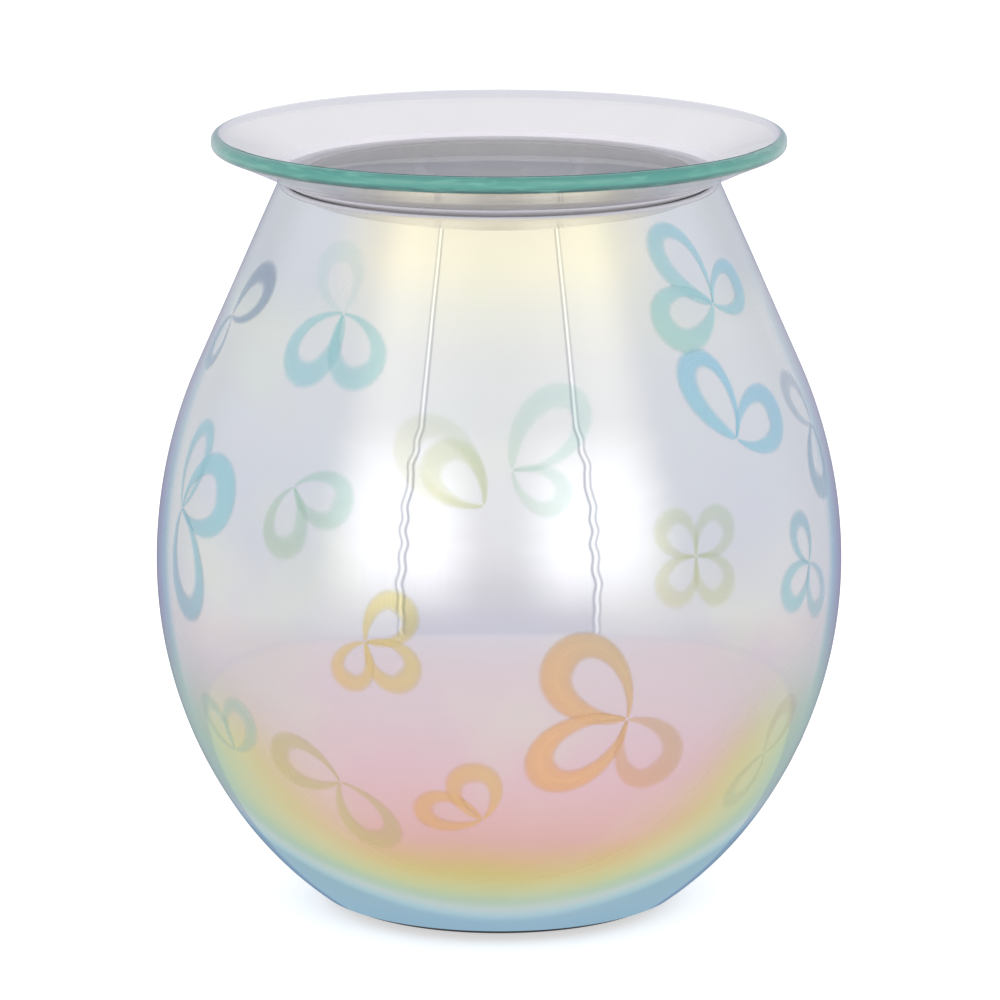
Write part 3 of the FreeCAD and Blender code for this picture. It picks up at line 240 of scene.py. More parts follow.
def new_material(name):
    material = bpy.data.materials.new(name)
    material.use_nodes = True
    net = Net(material.node_tree)
    place = net.add("ShaderNodeTexCoord").outputs["Object"]
    shader = net.add("ShaderNodeBsdfPrincipled")
    net.join(shader.outputs[0], net.end.inputs["Surface"])
    return material, net, place, shader


def shifted(colour, scale=1.0, shift=0.0):
    """A linear colour made darker or lighter, at most white."""
    return [min(channel * scale + shift, 1.0) for channel in colour[:3]] + [1.0]


# Relief of a grain in metres, half the spread of a roughness, and the share of a worn patch's tone
GRAIN_DEPTH, UNEVEN, WORN_SHARE = 0.00004, 0.08, 0.5


def plain(name, colour, rough, metal=0.0, grain=900.0, spread=0.12, bump=0.15, worn=0.0):
    """A finish with fine colour variation, uneven roughness, a little relief and wear in patches."""
    material, net, place, shader = new_material(name)
    fine = net.noise(place, scale=grain, detail=4.0)
    wide = net.noise(place, scale=60.0, detail=3.0)
    shade = net.blend(wide, shifted(colour, 1 - spread), shifted(colour, 1 + spread))
    if worn:
        patch = net.rise(net.noise(place, scale=240.0, detail=5.0, rough=0.7), 0.6, 0.72)
        shade = net.blend(net.times(patch, WORN_SHARE), shade, shifted(colour, shift=worn))
    net.join(shade, shader.inputs["Base Color"])
    smoothest, roughest = max(rough - UNEVEN, 0.02), min(rough + UNEVEN, 1.0)
    net.join(net.span(fine, smoothest, roughest), shader.inputs["Roughness"])
    shader.inputs["Metallic"].default_value = metal
    net.join(net.bump(fine, bump, GRAIN_DEPTH), shader.inputs["Normal"])
    return material


def add_painted_glow(material, colour, strength):
    """The same finish with a painted glow: a faint emission on a part that is no lamp."""
    shader = next(node for node in material.node_tree.nodes if node.bl_idname == "ShaderNodeBsdfPrincipled")
    put(shader, {"Emission Color": colour, "Emission Strength": strength})
    return material


# Lustre glass: the film's hue by its level on the shade, in millimetres. The pale cream stops near the mouth
# are a painted glow, and the pink of the lower half partly paints in the table's reflection

BANDS = [
    (2.7, (126, 168, 200)), (4.6, (146, 186, 212)), (5.8, (164, 196, 212)), (7.4, (188, 208, 204)),
    (9.6, (184, 204, 176)), (12.6, (198, 206, 148)), (15.2, (208, 204, 126)), (17.4, (214, 198, 118)),
    (20.6, (222, 188, 140)), (25.0, (228, 182, 174)), (31.0, (230, 190, 190)), (39.0, (228, 196, 204)),
    (50.0, (222, 206, 212)), (60.0, (218, 210, 214)), (66.0, (214, 216, 224)), (90.0, (214, 219, 226)),
    # The cream stops from 121 mm up are a painted glow near the mouth
    (112.0, (220, 224, 226)), (121.0, (230, 232, 224)), (129.0, (246, 242, 218)), (136.5, (248, 243, 216)),
]
BAND_TOP = 140.0
# The same film seen aslant: its hue by the length of the light's path in it
SLANT = [
    (1.074, (148, 186, 208)), (1.088, (168, 204, 218)), (1.108, (190, 212, 216)), (1.120, (186, 210, 204)),
    (1.136, (180, 208, 190)), (1.162, (196, 212, 176)), (1.198, (212, 212, 164)), (1.238, (216, 204, 136)),
    (1.277, (224, 194, 146)), (1.347, (230, 186, 178)), (1.405, (228, 196, 204)), (1.490, (216, 214, 220)),
]
# The outline of the upper half: its hue by how far the face turns away
RIM = [(0.68, (192, 206, 214)), (0.77, (162, 192, 210)), (0.85, (168, 174, 204)), (1.0, (184, 180, 200))]
NECK_TINT = (214, 218, 226)
GLASS_INDEX = 1.5
# How far noise moves the bands up and down in metres, and the most that it adds of two other hues
WANDER, BLUSH_SHARE, DRIFT_SHARE = 0.0022, 0.16, 0.22
# Levels in metres, from and to: the film thickens, the low gloss ends, the neck's starts, the outline's fades
THICKENING, LOW_END, NECK_START, RIM_FADE = (0.004, 0.028), (0.036, 0.064), (0.112, 0.126), (0.070, 0.115)
# How far the face turns away where each gloss sets in, from and to
LOW_TURN, NECK_TURN, RIM_TURN = (0.30, 0.58), (0.10, 0.34), (0.69, 0.80)
THIN_SHARE, RIM_LOSS, GLOSS_SHARE = 0.90, 0.55, 0.85


def lustre(name, tinted):
    """A semi-mirror film over glass, its hue drifting with height: the outer face or, tinted, the petals."""
    material, net, place, shader = new_material(name)
    parts = net.add("ShaderNodeSeparateXYZ")
    net.join(place, parts.inputs[0])
    wander = net.noise(place, scale=28.0)
    level = net.math("ADD", parts.outputs["Z"], net.span(wander, -WANDER, WANDER))
    share = net.math("DIVIDE", level, BAND_TOP * MM)
    film = net.ramp(share, [(at / BAND_TOP, linear(*tone)) for at, tone in BANDS])
    cloud = net.noise(place, scale=55.0, detail=3.0)
    film = net.blend(net.span(cloud, 0.0, BLUSH_SHARE), film, linear(236, 214, 226))
    drift = net.rise(net.noise(place, scale=34.0, detail=3.0), 0.5, 0.68)
    film = net.blend(net.times(drift, DRIFT_SHARE), film, linear(226, 234, 208))
    if tinted:
        tint = net.add("ShaderNodeAttribute", attribute_name="tint")
        cover = net.add("ShaderNodeAttribute", attribute_name="cover")
        film = net.blend(net.span(cloud, 0.84, 1.0), film, tint.outputs["Color"])
        net.join(cover.outputs["Fac"], shader.inputs["Alpha"])
    else:
        shader.inputs["Alpha"].default_value = 0.93
    net.join(film, shader.inputs["Base Color"])
    fine = net.noise(place, scale=1400.0, detail=3.0)
    net.join(net.span(fine, 0.02, 0.05), shader.inputs["Roughness"])
    put(shader, {"Metallic": 0.55, "IOR": GLASS_INDEX, "Coat Weight": 0.35, "Coat Roughness": 0.03})
    swell = net.bump(net.noise(place, scale=16.0), strength=0.1, distance=0.0012)
    net.join(swell, shader.inputs["Normal"])
    if not tinted:
        slanted_gloss(net, shader, parts.outputs["Z"], swell)
    return material


def slanted_gloss(net, shader, level, normal):
    """Mirror gloss where the film is seen aslant: green to blue low down, blue-grey at neck and outline."""
    weight = net.add("ShaderNodeLayerWeight")
    weight.inputs["Blend"].default_value = 0.5
    facing = weight.outputs["Facing"]
    straight = net.math("SUBTRACT", 1.0, facing)
    length = net.math("SQRT", net.math("ADD", net.times(straight, straight), GLASS_INDEX ** 2 - 1))
    thick = net.math("MULTIPLY_ADD", net.rise(level, *THICKENING), 1 - THIN_SHARE, THIN_SHARE)
    shortest, longest = SLANT[0][0], SLANT[-1][0]
    path = net.rise(net.times(length, thick), shortest, longest, smooth=False)
    stops = [((at - shortest) / (longest - shortest), linear(*tone)) for at, tone in SLANT]
    neck = net.rise(level, *NECK_START)
    rim_tint = net.ramp(facing, [(at, linear(*tone)) for at, tone in RIM])
    upper_tint = net.blend(neck, rim_tint, linear(*NECK_TINT))
    low = net.fall(level, *LOW_END)
    gloss = net.add("ShaderNodeBsdfAnisotropic")
    net.join(net.blend(low, upper_tint, net.ramp(path, stops, "CARDINAL")), gloss.inputs["Color"])
    gloss.inputs["Roughness"].default_value = 0.05
    net.join(normal, gloss.inputs["Normal"])
    low_gloss = net.times(net.rise(facing, *LOW_TURN), low)
    neck_gloss = net.times(net.rise(facing, *NECK_TURN), neck)
    fading = net.math("MULTIPLY_ADD", net.rise(level, *RIM_FADE), -RIM_LOSS, 1.0)
    rim_gloss = net.times(net.rise(facing, *RIM_TURN), fading)
    most = net.math("MAXIMUM", net.math("MAXIMUM", low_gloss, neck_gloss), rim_gloss)
    net.surface(net.times(most, GLOSS_SHARE), shader, gloss)


def inner_painted_shade_and_glow():
    """The inside of the film, dark with painted shade where it shows through the dish, and with a painted
    glow.
    """
    material, net, place, shader = new_material("shade_inner_film")
    wide = net.noise(place, scale=40.0, detail=3.0)
    # Painted shade: dark tones for the dim inside of the shade
    net.join(net.blend(wide, linear(34, 34, 44), linear(56, 50, 64)), shader.inputs["Base Color"])
    net.join(net.span(net.noise(place, scale=900.0, detail=3.0), 0.14, 0.26), shader.inputs["Roughness"])
    put(shader, {"Metallic": 0.6, "Alpha": 0.9})
    # Painted glow: a faint emission that keeps the inside from going black
    return add_painted_glow(material, linear(150, 146, 158), 0.06)


def glass(name, colour, rough, wave=0.0, clear=1.0):
    """Glass that lets light through; wave bends its face, and clear is the share of light that passes."""
    material, net, place, shader = new_material(name)
    wide = net.noise(place, scale=70.0, detail=3.0)
    net.join(net.blend(wide, colour, shifted(colour, 1.06)), shader.inputs["Base Color"])
    fine = net.noise(place, scale=1200.0, detail=3.0)
    net.join(net.span(fine, rough * 0.6, rough * 1.4), shader.inputs["Roughness"])
    put(shader, {"IOR": GLASS_INDEX, "Transmission Weight": clear})
    if wave:
        net.join(net.bump(net.noise(place, scale=36.0), wave, 0.0008), shader.inputs["Normal"])
    shadow = net.add("ShaderNodeLightPath").outputs["Is Shadow Ray"]
    open_glass = net.add("ShaderNodeBsdfTransparent")
    open_glass.inputs["Color"].default_value = [0.9, 0.92, 0.92, 1.0]
    net.surface(shadow, shader, open_glass)
    return material


# The dish's cut edge: its levels in millimetres and its tones from its lower to its upper side: teal, with
# painted shade at the lower side and a painted highlight at the upper
EDGE_LOW, EDGE_HIGH = 142.9, 146.2
EDGE_TONES_WITH_PAINTED_LIGHT = [
    (0.0, (44, 92, 92)), (0.14, (62, 124, 120)), (0.30, (84, 158, 148)),
    (0.55, (74, 150, 140)), (0.80, (66, 134, 128)), (1.0, (150, 190, 190)),
]
# Painted highlights: lighter streaks run along the edge, so the noise for them is squeezed in height
STREAK_SQUEEZE, GLINT_SHARE = 9.0, 0.45


def teal_edge():
    """The cut edge of float glass: teal from outside, clear from within the glass."""
    material, net, place, shader = new_material("dish_teal_edge")
    parts = net.add("ShaderNodeSeparateXYZ")
    net.join(place, parts.inputs[0])
    height = net.rise(parts.outputs["Z"], EDGE_LOW * MM, EDGE_HIGH * MM, smooth=False)
    # Darker low and paler high on the edge: painted shade and highlight over the teal
    tone = net.ramp(height, [(at, linear(*colour)) for at, colour in EDGE_TONES_WITH_PAINTED_LIGHT])
    squeezed = net.add("ShaderNodeMapping")
    net.join(place, squeezed.inputs["Vector"])
    squeezed.inputs["Scale"].default_value = (1.0, 1.0, STREAK_SQUEEZE)
    # Lighter streaks along the edge: painted highlights
    streak = net.rise(net.noise(squeezed.outputs["Vector"], scale=170.0, detail=3.0), 0.45, 0.7)
    tone = net.blend(net.span(streak, 0.0, GLINT_SHARE), tone, linear(116, 186, 170))
    net.join(tone, shader.inputs["Base Color"])
    net.join(net.span(net.noise(place, scale=900.0, detail=3.0), 0.08, 0.2), shader.inputs["Roughness"])
    shader.inputs["Coat Weight"].default_value = 0.6
    within = net.add("ShaderNodeNewGeometry").outputs["Backfacing"]
    clear = net.add("ShaderNodeBsdfTransparent")
    clear.inputs["Color"].default_value = linear(214, 214, 220)
    net.surface(within, shader, clear)
    return material


# The shade: one turned mesh with a ground lower edge and an arched notch for the cord at the rear

SHADE_ROWS = 110
# The plain walls end this many corner radii below the mouth; the lip's finish reaches this many rows inside
CORNER_REACH, LIP_ROWS = 1.6, 3
OUTER_ZONE, INNER_ZONE, GROUND_ZONE, LIP_ZONE = range(4)
# The lip's and the seat's pale tints are also the colours of their painted glow
LIP_GLOW_TINT, SEAT_GLOW_TINT = linear(206, 198, 212), linear(222, 218, 226)
BLOCK_FACES = [(0, 2, 3, 1), (4, 5, 7, 6), (0, 1, 5, 4), (2, 6, 7, 3), (0, 4, 6, 2), (1, 3, 7, 5)]


def shade_section():
    """The closed section of the shade's wall, and the zone of each run of it."""
    outer, inner = [], []
    top = MOUTH_LEVEL - MOUTH_ROUND * CORNER_REACH
    for row in range(SHADE_ROWS + 1):
        level = GLASS_LOW + (top - GLASS_LOW) * row / SHADE_ROWS
        outer.append((shade_radius(level), level))
        inner.append((shade_radius(level, WALL), level))
    corner_out = (shade_radius(MOUTH_LEVEL), MOUTH_LEVEL)
    corner_in = (shade_radius(MOUTH_LEVEL, WALL), MOUTH_LEVEL)
    lip = rounded((outer[-1], corner_out, corner_in), MOUTH_ROUND)
    lip += rounded((corner_out, corner_in, inner[-1]), MOUTH_ROUND)
    zones = [OUTER_ZONE] * len(outer) + [LIP_ZONE] * (len(lip) + LIP_ROWS)
    zones += [INNER_ZONE] * (len(inner) - 1 - LIP_ROWS) + [GROUND_ZONE]
    return outer + lip + inner[::-1], zones


def notch_cutters():
    """A bar that cuts the notch's arch and a block that cuts what is under it."""
    half, arch, near, far = (size * MM for size in (NOTCH_HALF, NOTCH_LEVEL, NOTCH_NEAR, NOTCH_FAR))
    bar = bmesh.new()
    bmesh.ops.create_cone(bar, cap_ends=True, segments=48, radius1=half, radius2=half, depth=far - near)
    for vertex in bar.verts:
        across, up, along = vertex.co
        vertex.co = Vector((across, (near + far) / 2 + along, arch + up))
    bar_mesh = bpy.data.meshes.new("notch")
    bar.to_mesh(bar_mesh)
    bar.free()
    block_mesh = bpy.data.meshes.new("notch_slot")
    corners = [(x, y, z) for z in (0.0, arch) for y in (near, far) for x in (-half, half)]
    block_mesh.from_pydata(corners, [], BLOCK_FACES)
    return [bpy.data.objects.new(mesh.name, mesh) for mesh in (bar_mesh, block_mesh)]


def cut_notch(piece):
    cutters = notch_cutters()
    for cutter in cutters:
        scene.collection.objects.link(cutter)
        modifier = piece.modifiers.new(cutter.name, "BOOLEAN")
        modifier.operation = "DIFFERENCE"
        modifier.solver = "EXACT"
        modifier.object = cutter
    depsgraph = bpy.context.evaluated_depsgraph_get()
    notched = bpy.data.meshes.new_from_object(piece.evaluated_get(depsgraph))
    piece.modifiers.clear()
    piece.data = notched
    for cutter in cutters:
        bpy.data.objects.remove(cutter)
    notched.set_sharp_from_angle(angle=SHARP)
    notched.materials.clear()


section, zones = shade_section()
shade = lathe("shade_glass", section, zones)
cut_notch(shade)
ground = plain("shade_ground_edge", linear(206, 214, 216), 0.5, grain=2200.0, spread=0.05, bump=0.3)
# The mouth's lip: pale ground glass, with a painted glow that lifts the dark crevice under the dish
lip_painted_glow = add_painted_glow(plain("shade_mouth_lip", LIP_GLOW_TINT, 0.35, spread=0.05, bump=0.1), LIP_GLOW_TINT, 0.3)
for material in (lustre("shade_lustre", False), inner_painted_shade_and_glow(), ground, lip_painted_glow):
    shade.data.materials.append(material)
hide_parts("glass_shade_upper", "glass_shade_lower")
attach(shade, "base")

# The dish: slumped glass with a teal cut edge. Its flat floor bends up to a slope, which ends in a wide arc

DISH_LOW, DISH_WALL, DISH_FLOOR, DISH_BEND = 135.82, 3.0, 35.29, 9.0
DISH_SLOPE, DISH_BRIM, DISH_RADIUS = math.radians(27.2), 156.0, 53.0
CUT_ROUND, BEND_STEPS, BRIM_STEPS = 1.2, 8, 12
CLEAR_ZONE, EDGE_ZONE, SEAT_ZONE = range(3)
# The first run of the lower face that belongs to the seat on the shade's mouth
SEAT_START = 3


def dish_bend(radius, first_step):
    """Points of the bend between floor and slope, on an arc of that radius."""
    points = []
    for step in range(first_step, BEND_STEPS + 1):
        angle = DISH_SLOPE * step / BEND_STEPS
        level = DISH_LOW + DISH_BEND - radius * math.cos(angle)
        points.append((DISH_FLOOR + radius * math.sin(angle), level))
    return points


def dish_section():
    """The closed section of the dish, and the zone of each run of it."""
    under = [(0.0, DISH_LOW), (DISH_FLOOR / 2, DISH_LOW), (DISH_FLOOR, DISH_LOW)] + dish_bend(DISH_BEND, 1)
    over = dish_bend(DISH_BEND - DISH_WALL, 0)
    across, up = under[-1]
    centre = (across + DISH_BRIM * math.sin(DISH_SLOPE), up - DISH_BRIM * math.cos(DISH_SLOPE))
    brims = []
    for radius in (DISH_BRIM, DISH_BRIM + DISH_WALL):
        first, row = centre[0] - radius * math.sin(DISH_SLOPE), []
        for step in range(1, BRIM_STEPS + 1):
            across = first + (DISH_RADIUS - first) * step / BRIM_STEPS
            row.append((across, centre[1] + math.sqrt(radius ** 2 - (centre[0] - across) ** 2)))
        brims.append(row)
    brim_under, brim_over = brims
    low_corner = rounded((brim_under[-2], brim_under[-1], brim_over[-1]), CUT_ROUND)
    high_corner = rounded((brim_under[-1], brim_over[-1], brim_over[-2]), CUT_ROUND)
    outward = under + brim_under[:-1] + low_corner
    inward = high_corner + brim_over[:-1][::-1] + over[::-1]
    floor_top = DISH_LOW + DISH_WALL
    section = outward + inward + [(DISH_FLOOR / 2, floor_top), (0.0, floor_top)]
    zones = [CLEAR_ZONE] * len(section)
    for index in range(SEAT_START, len(under) + 1):
        zones[index] = SEAT_ZONE
    for index in range(len(under) + len(brim_under) - 2, len(outward) + len(high_corner) - 1):
        zones[index] = EDGE_ZONE
    return section, zones


section, zones = dish_section()
dish = lathe("dish_glass", section, zones)
clear_glass = glass("dish_clear_glass", linear(203, 201, 204), rough=0.02, wave=0.05)
# The dish's ground seat glows faintly: painted light
seat = add_painted_glow(glass("dish_ground_seat", SEAT_GLOW_TINT, rough=0.14, clear=0.62), SEAT_GLOW_TINT, 0.2)
for material in (clear_glass, teal_edge(), seat):
    dish.data.materials.append(material)
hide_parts("glass_dish")
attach(dish, "dish")

# Petals in the film: loops that meet in a point, each with a stroke that swells on its far side

OUTLINE_STEP = 0.2
outline_levels, outline_lengths = [GLASS_LOW], [0.0]
while outline_levels[-1] < MOUTH_LEVEL - OUTLINE_STEP / 20:
    level = min(outline_levels[-1] + OUTLINE_STEP, MOUTH_LEVEL)
    run = shade_radius(level) - shade_radius(outline_levels[-1])
    outline_lengths.append(outline_lengths[-1] + math.hypot(level - outline_levels[-1], run))
    outline_levels.append(level)


def level_at(length):
    """The level that a length along the outline from the lower edge reaches."""
    low, high = 0, len(outline_lengths) - 1
    while high - low > 1:
        middle = (low + high) // 2
        low, high = (middle, high) if outline_lengths[middle] < length else (low, middle)
    share = (length - outline_lengths[low]) / (outline_lengths[high] - outline_lengths[low])
    return outline_levels[low] + (outline_levels[high] - outline_levels[low]) * min(max(share, 0.0), 1.0)


def length_at(level):
    """The length along the outline from the lower edge to a level."""
    index = min(int((level - GLASS_LOW) / OUTLINE_STEP), len(outline_lengths) - 2)
    share = (level - outline_levels[index]) / (outline_levels[index + 1] - outline_levels[index])
    return outline_lengths[index] + (outline_lengths[index + 1] - outline_lengths[index]) * share


# Petals keep this far from the lower edge and the mouth, and lie this far off the glass, later loops further
KEEP_LOW, KEEP_HIGH, LIFT, LIFT_STEP = 1.0, 2.2, 0.03, 0.012


def on_glass(azimuth, level, across, up, lift):
    """A point off the outer face, across and up from a place on it, in metres."""
    at = level_at(min(max(length_at(level) + up, KEEP_LOW), outline_lengths[-1] - KEEP_HIGH))
    radius = shade_radius(at)
    turn = math.radians(azimuth) + across / radius
    slope = (shade_radius(at + OUTLINE_STEP) - shade_radius(at - OUTLINE_STEP)) / (2 * OUTLINE_STEP)
    size = math.hypot(1.0, slope)
    radius, at = radius + lift / size, at - lift * slope / size
    return (radius * math.sin(turn) * MM, -radius * math.cos(turn) * MM, at * MM)


# A stroke's least width and the blur of its edges in millimetres, and its greatest width by the loop's length
# or, on a narrow loop, by the square of the loop's width share
HAIRLINE, SOFT_EDGE, STROKE_SHARE, NARROW_SHARE = 0.35, 0.9, 0.27, 0.38
STROKE_STEPS, SWELL_POWER, SLIGHT_TURN = 80, 1.45, 0.004
# A loop's outline: how full it is near its point, and how much wider than its nominal width
LOOP_POWER, LOOP_WIDER = 0.24, 1.05
# A stroke starts and ends this share of the outline from the point; a loop's middle lies this share of it out
POINT_SHARE, MIDDLE_SHARE = 0.02, 0.55
# How blurred a hairline is, how far a stroke's two edges blur out, and its cover where the blur ends
LEAST_BLUR, BLUR_OUT, BLUR_IN, EDGE_COVER = 0.25, 0.6, 0.8, 0.85
# Millimetres over which a motif's first tone turns into its last
TONE_REACH = 36


def loop_petal(direction, length, width, skew, stroke):
    """Rows across one stroke, from its outer to its inner edge, each point with its cover."""
    rows = []
    cos_head, sin_head = math.cos(math.radians(direction)), math.sin(math.radians(direction))
    middle = Vector((cos_head, sin_head)) * length * MIDDLE_SHARE

    def outer(share):
        turn = 2 * math.pi * share
        reach = (1 - math.cos(turn)) / 2
        along, across = length * reach, width / 2 * math.sin(turn) * reach ** LOOP_POWER * LOOP_WIDER
        return Vector((along * cos_head - across * sin_head, along * sin_head + across * cos_head))

    for step in range(STROKE_STEPS + 1):
        share = POINT_SHARE + (1 - 2 * POINT_SHARE) * step / STROKE_STEPS
        point = outer(share)
        heading = (outer(min(share + SLIGHT_TURN, 1.0)) - outer(max(share - SLIGHT_TURN, 0.0))).normalized()
        inward = Vector((-heading.y, heading.x))
        if inward.dot(middle - point) < 0:
            inward = -inward
        swell = math.sin(math.pi * share ** skew) ** SWELL_POWER
        thick = HAIRLINE + stroke * swell
        soft = SOFT_EDGE * (LEAST_BLUR + (1 - LEAST_BLUR) * swell)
        edge = soft * BLUR_OUT
        places = ((-edge, 0.0), (edge, EDGE_COVER), (thick / 2, 1.0), (thick - edge, EDGE_COVER),
                  (thick + soft * BLUR_IN, 0.0))
        rows.append([(point + inward * depth, cover) for depth, cover in places])
    return rows


def face_outward(mesh, outward):
    """Turns the faces round that look into the glass."""
    work = bmesh.new()
    work.from_mesh(mesh)
    inward = [face for face in work.faces if face.normal.dot(outward) < 0]
    bmesh.ops.reverse_faces(work, faces=inward)
    work.to_mesh(mesh)
    work.free()


petal_material = lustre("petal_lustre", True)


def petals(name, azimuth, level, lobes, near_tone, far_tone, strength):
    """One motif. A lobe is a direction, length, width share, skew and, if fainter, share of the strength."""
    vertices, faces, tints, covers = [], [], [], []
    first_tone, last_tone = linear(*near_tone), linear(*far_tone)
    for number, (direction, length, width, skew, *faint) in enumerate(lobes):
        stroke = length * min(STROKE_SHARE, width * width * NARROW_SHARE)
        rows = loop_petal(direction, length, length * width, skew, stroke)
        across_row, base = len(rows[0]), len(vertices)
        for row in rows:
            for point, cover in row:
                vertices.append(on_glass(azimuth, level, point.x, point.y, LIFT + LIFT_STEP * number))
                share = min(max(0.5 + (point.x + point.y) / TONE_REACH, 0.0), 1.0)
                tints.append([a + (b - a) * share for a, b in zip(first_tone, last_tone)])
                covers.append(cover * strength * (faint[0] if faint else 1.0))
        for index in range(len(rows) - 1):
            for side in range(across_row - 1):
                corner = base + index * across_row + side
                faces.append((corner, corner + 1, corner + across_row + 1, corner + across_row))
    mesh = bpy.data.meshes.new(name)
    mesh.from_pydata(vertices, [], faces)
    mesh.update()
    face_outward(mesh, Vector((math.sin(math.radians(azimuth)), -math.cos(math.radians(azimuth)), 0)))
    tint = mesh.attributes.new("tint", "FLOAT_COLOR", "POINT")
    tint.data.foreach_set("color", [channel for colour in tints for channel in colour])
    cover = mesh.attributes.new("cover", "FLOAT", "POINT")
    cover.data.foreach_set("value", covers)
    mesh.shade_smooth()
    mesh.materials.append(petal_material)
    piece = bpy.data.objects.new(name, mesh)
    scene.collection.objects.link(piece)
    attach(piece, "base")


CYAN, MINT, SKY, SLATE = (166, 224, 234), (184, 230, 222), (164, 216, 240), (160, 196, 218)
LEAF, LEMON, AMBER, ORANGE = (200, 222, 188), (232, 224, 158), (246, 212, 150), (250, 197, 142)
TAN, STEEL = (219, 201, 158), (130, 156, 190)
# Each motif: its azimuth in degrees and level in millimetres, its lobes, its two tones and its strength
MOTIFS = [
    (-74.3, 113.9, [(40, 15.5, 0.8, 0.8), (-108, 11.5, 0.8, 1.2)], SLATE, STEEL, 0.5),
    (-35.0, 119.0, [(-124, 16.0, 0.82, 0.8), (-57, 15.2, 0.82, 1.1), (113, 14.0, 0.85, 1.0, 0.25)],
     CYAN, MINT, 0.5),
    (52.8, 118.8, [(120, 18.2, 0.68, 0.68), (-171, 16.2, 0.84, 0.8), (18, 12.4, 0.92, 1.15)],
     MINT, SKY, 0.66),
    (47.0, 96.1, [(109, 18.2, 0.72, 0.7), (15, 16.0, 0.86, 1.1, 0.9)], CYAN, SKY, 0.72),
    (75.5, 93.8, [(-108, 14.0, 0.9, 1.0), (125, 13.0, 0.8, 1.0, 0.5)], SLATE, STEEL, 0.6),
    (-67.6, 80.1, [(77, 17.5, 0.62, 1.0, 0.8), (22, 19.2, 0.88, 1.05), (-68, 21.0, 0.7, 1.1)],
     SLATE, CYAN, 0.66),
    (-37.2, 89.2, [(-12, 13.0, 0.88, 1.05), (-96, 13.2, 0.84, 0.9)], LEAF, MINT, 0.38),
    (-2.5, 88.3, [(133, 14.2, 0.85, 1.0), (136, 20.5, 0.75, 1.0, 0.6)], LEMON, LEAF, 0.32),
    (2.2, 94.4, [(48, 18.9, 0.75, 0.8), (-33, 12.0, 0.8, 1.0)], LEAF, MINT, 0.25),
    (33.9, 77.4,
     [(40, 11.0, 0.88, 1.0), (130, 10.4, 0.9, 1.0), (-135, 10.6, 0.9, 1.0), (-50, 11.0, 0.88, 1.0)],
     LEMON, LEAF, 0.3),
    (62.5, 70.9, [(112, 10.6, 0.8, 1.0), (-150, 11.4, 0.85, 1.0), (-62, 11.6, 0.8, 1.0, 0.8)],
     CYAN, SLATE, 0.55),
    (-21.9, 63.3, [(43, 11.8, 0.9, 0.9), (-38, 11.8, 0.88, 1.1), (-117, 10.0, 0.9, 1.0)], AMBER, LEMON, 0.66),
    (21.6, 48.8, [(134, 20.6, 0.82, 0.85), (-147, 20.2, 0.78, 1.0), (-56, 16.4, 0.9, 0.9, 0.6)],
     ORANGE, TAN, 0.76),
    (-3.1, 29.6, [(166, 12.6, 0.78, 0.9), (100, 12.6, 0.88, 1.0)], ORANGE, AMBER, 0.66),
    (-29.4, 35.4, [(161, 15.6, 0.8, 0.9), (-65, 15.8, 0.8, 1.1)], LEMON, TAN, 0.5),
    (-55.0, 37.0, [(56, 13.0, 0.8, 1.2), (128, 12.0, 0.75, 1.0)], LEAF, MINT, 0.35),
    (56.0, 36.0, [(62, 12.0, 0.85, 1.0), (-120, 12.0, 0.8, 1.0)], LEAF, TAN, 0.22),
    (104.0, 112.0, [(120, 16.0, 0.7, 1.0), (30, 15.0, 0.7, 1.1), (-70, 14.0, 0.72, 0.9)], CYAN, SKY, 0.8),
    (100.0, 52.0, [(140, 14.0, 0.75, 1.0), (20, 15.5, 0.72, 1.0), (-90, 12.0, 0.75, 1.0)], AMBER, TAN, 0.7),
    (131.0, 84.0, [(60, 17.0, 0.7, 1.0), (170, 15.5, 0.7, 1.1), (-60, 16.5, 0.7, 0.9)], SLATE, CYAN, 0.8),
    (152.0, 116.0, [(-150, 14.5, 0.7, 1.0), (-40, 15.5, 0.72, 1.0), (80, 13.0, 0.7, 1.0)], MINT, SKY, 0.8),
    (158.0, 48.0, [(110, 17.0, 0.72, 1.0), (-10, 15.5, 0.72, 1.1)], ORANGE, AMBER, 0.8),
    (-178.0, 84.0, [(135, 16.0, 0.72, 0.9), (35, 16.0, 0.72, 1.0), (-90, 13.5, 0.75, 1.0)], LEAF, LEMON, 0.6),
    (-152.0, 118.0, [(-120, 15.0, 0.7, 1.0), (150, 13.0, 0.7, 1.0), (-20, 13.5, 0.7, 1.0)], CYAN, MINT, 0.75),
    (-148.0, 56.0, [(60, 15.0, 0.75, 1.0), (-50, 14.0, 0.75, 1.1), (-160, 14.5, 0.72, 0.9)],
     AMBER, TAN, 0.75),
    (-122.0, 90.0, [(100, 16.5, 0.7, 1.0), (-20, 15.0, 0.72, 1.0)], SKY, CYAN, 0.85),
    (-108.0, 116.0, [(160, 13.0, 0.7, 1.0), (-100, 15.0, 0.72, 1.0)], SLATE, SKY, 0.75),
    (-104.0, 54.0, [(30, 14.5, 0.75, 1.0), (-80, 13.5, 0.75, 1.0), (140, 12.5, 0.75, 1.0)],
     LEAF, LEMON, 0.55),
    (176.0, 27.0, [(80, 10.0, 0.8, 1.0), (-160, 11.0, 0.75, 1.0)], ORANGE, TAN, 0.7),
    (84.0, 27.0, [(20, 11.0, 0.75, 1.0), (140, 10.0, 0.8, 1.0)], LEAF, LEMON, 0.5),
    (-86.0, 26.0, [(60, 10.5, 0.75, 1.0), (170, 10.5, 0.75, 1.0)], LEAF, MINT, 0.5),
]
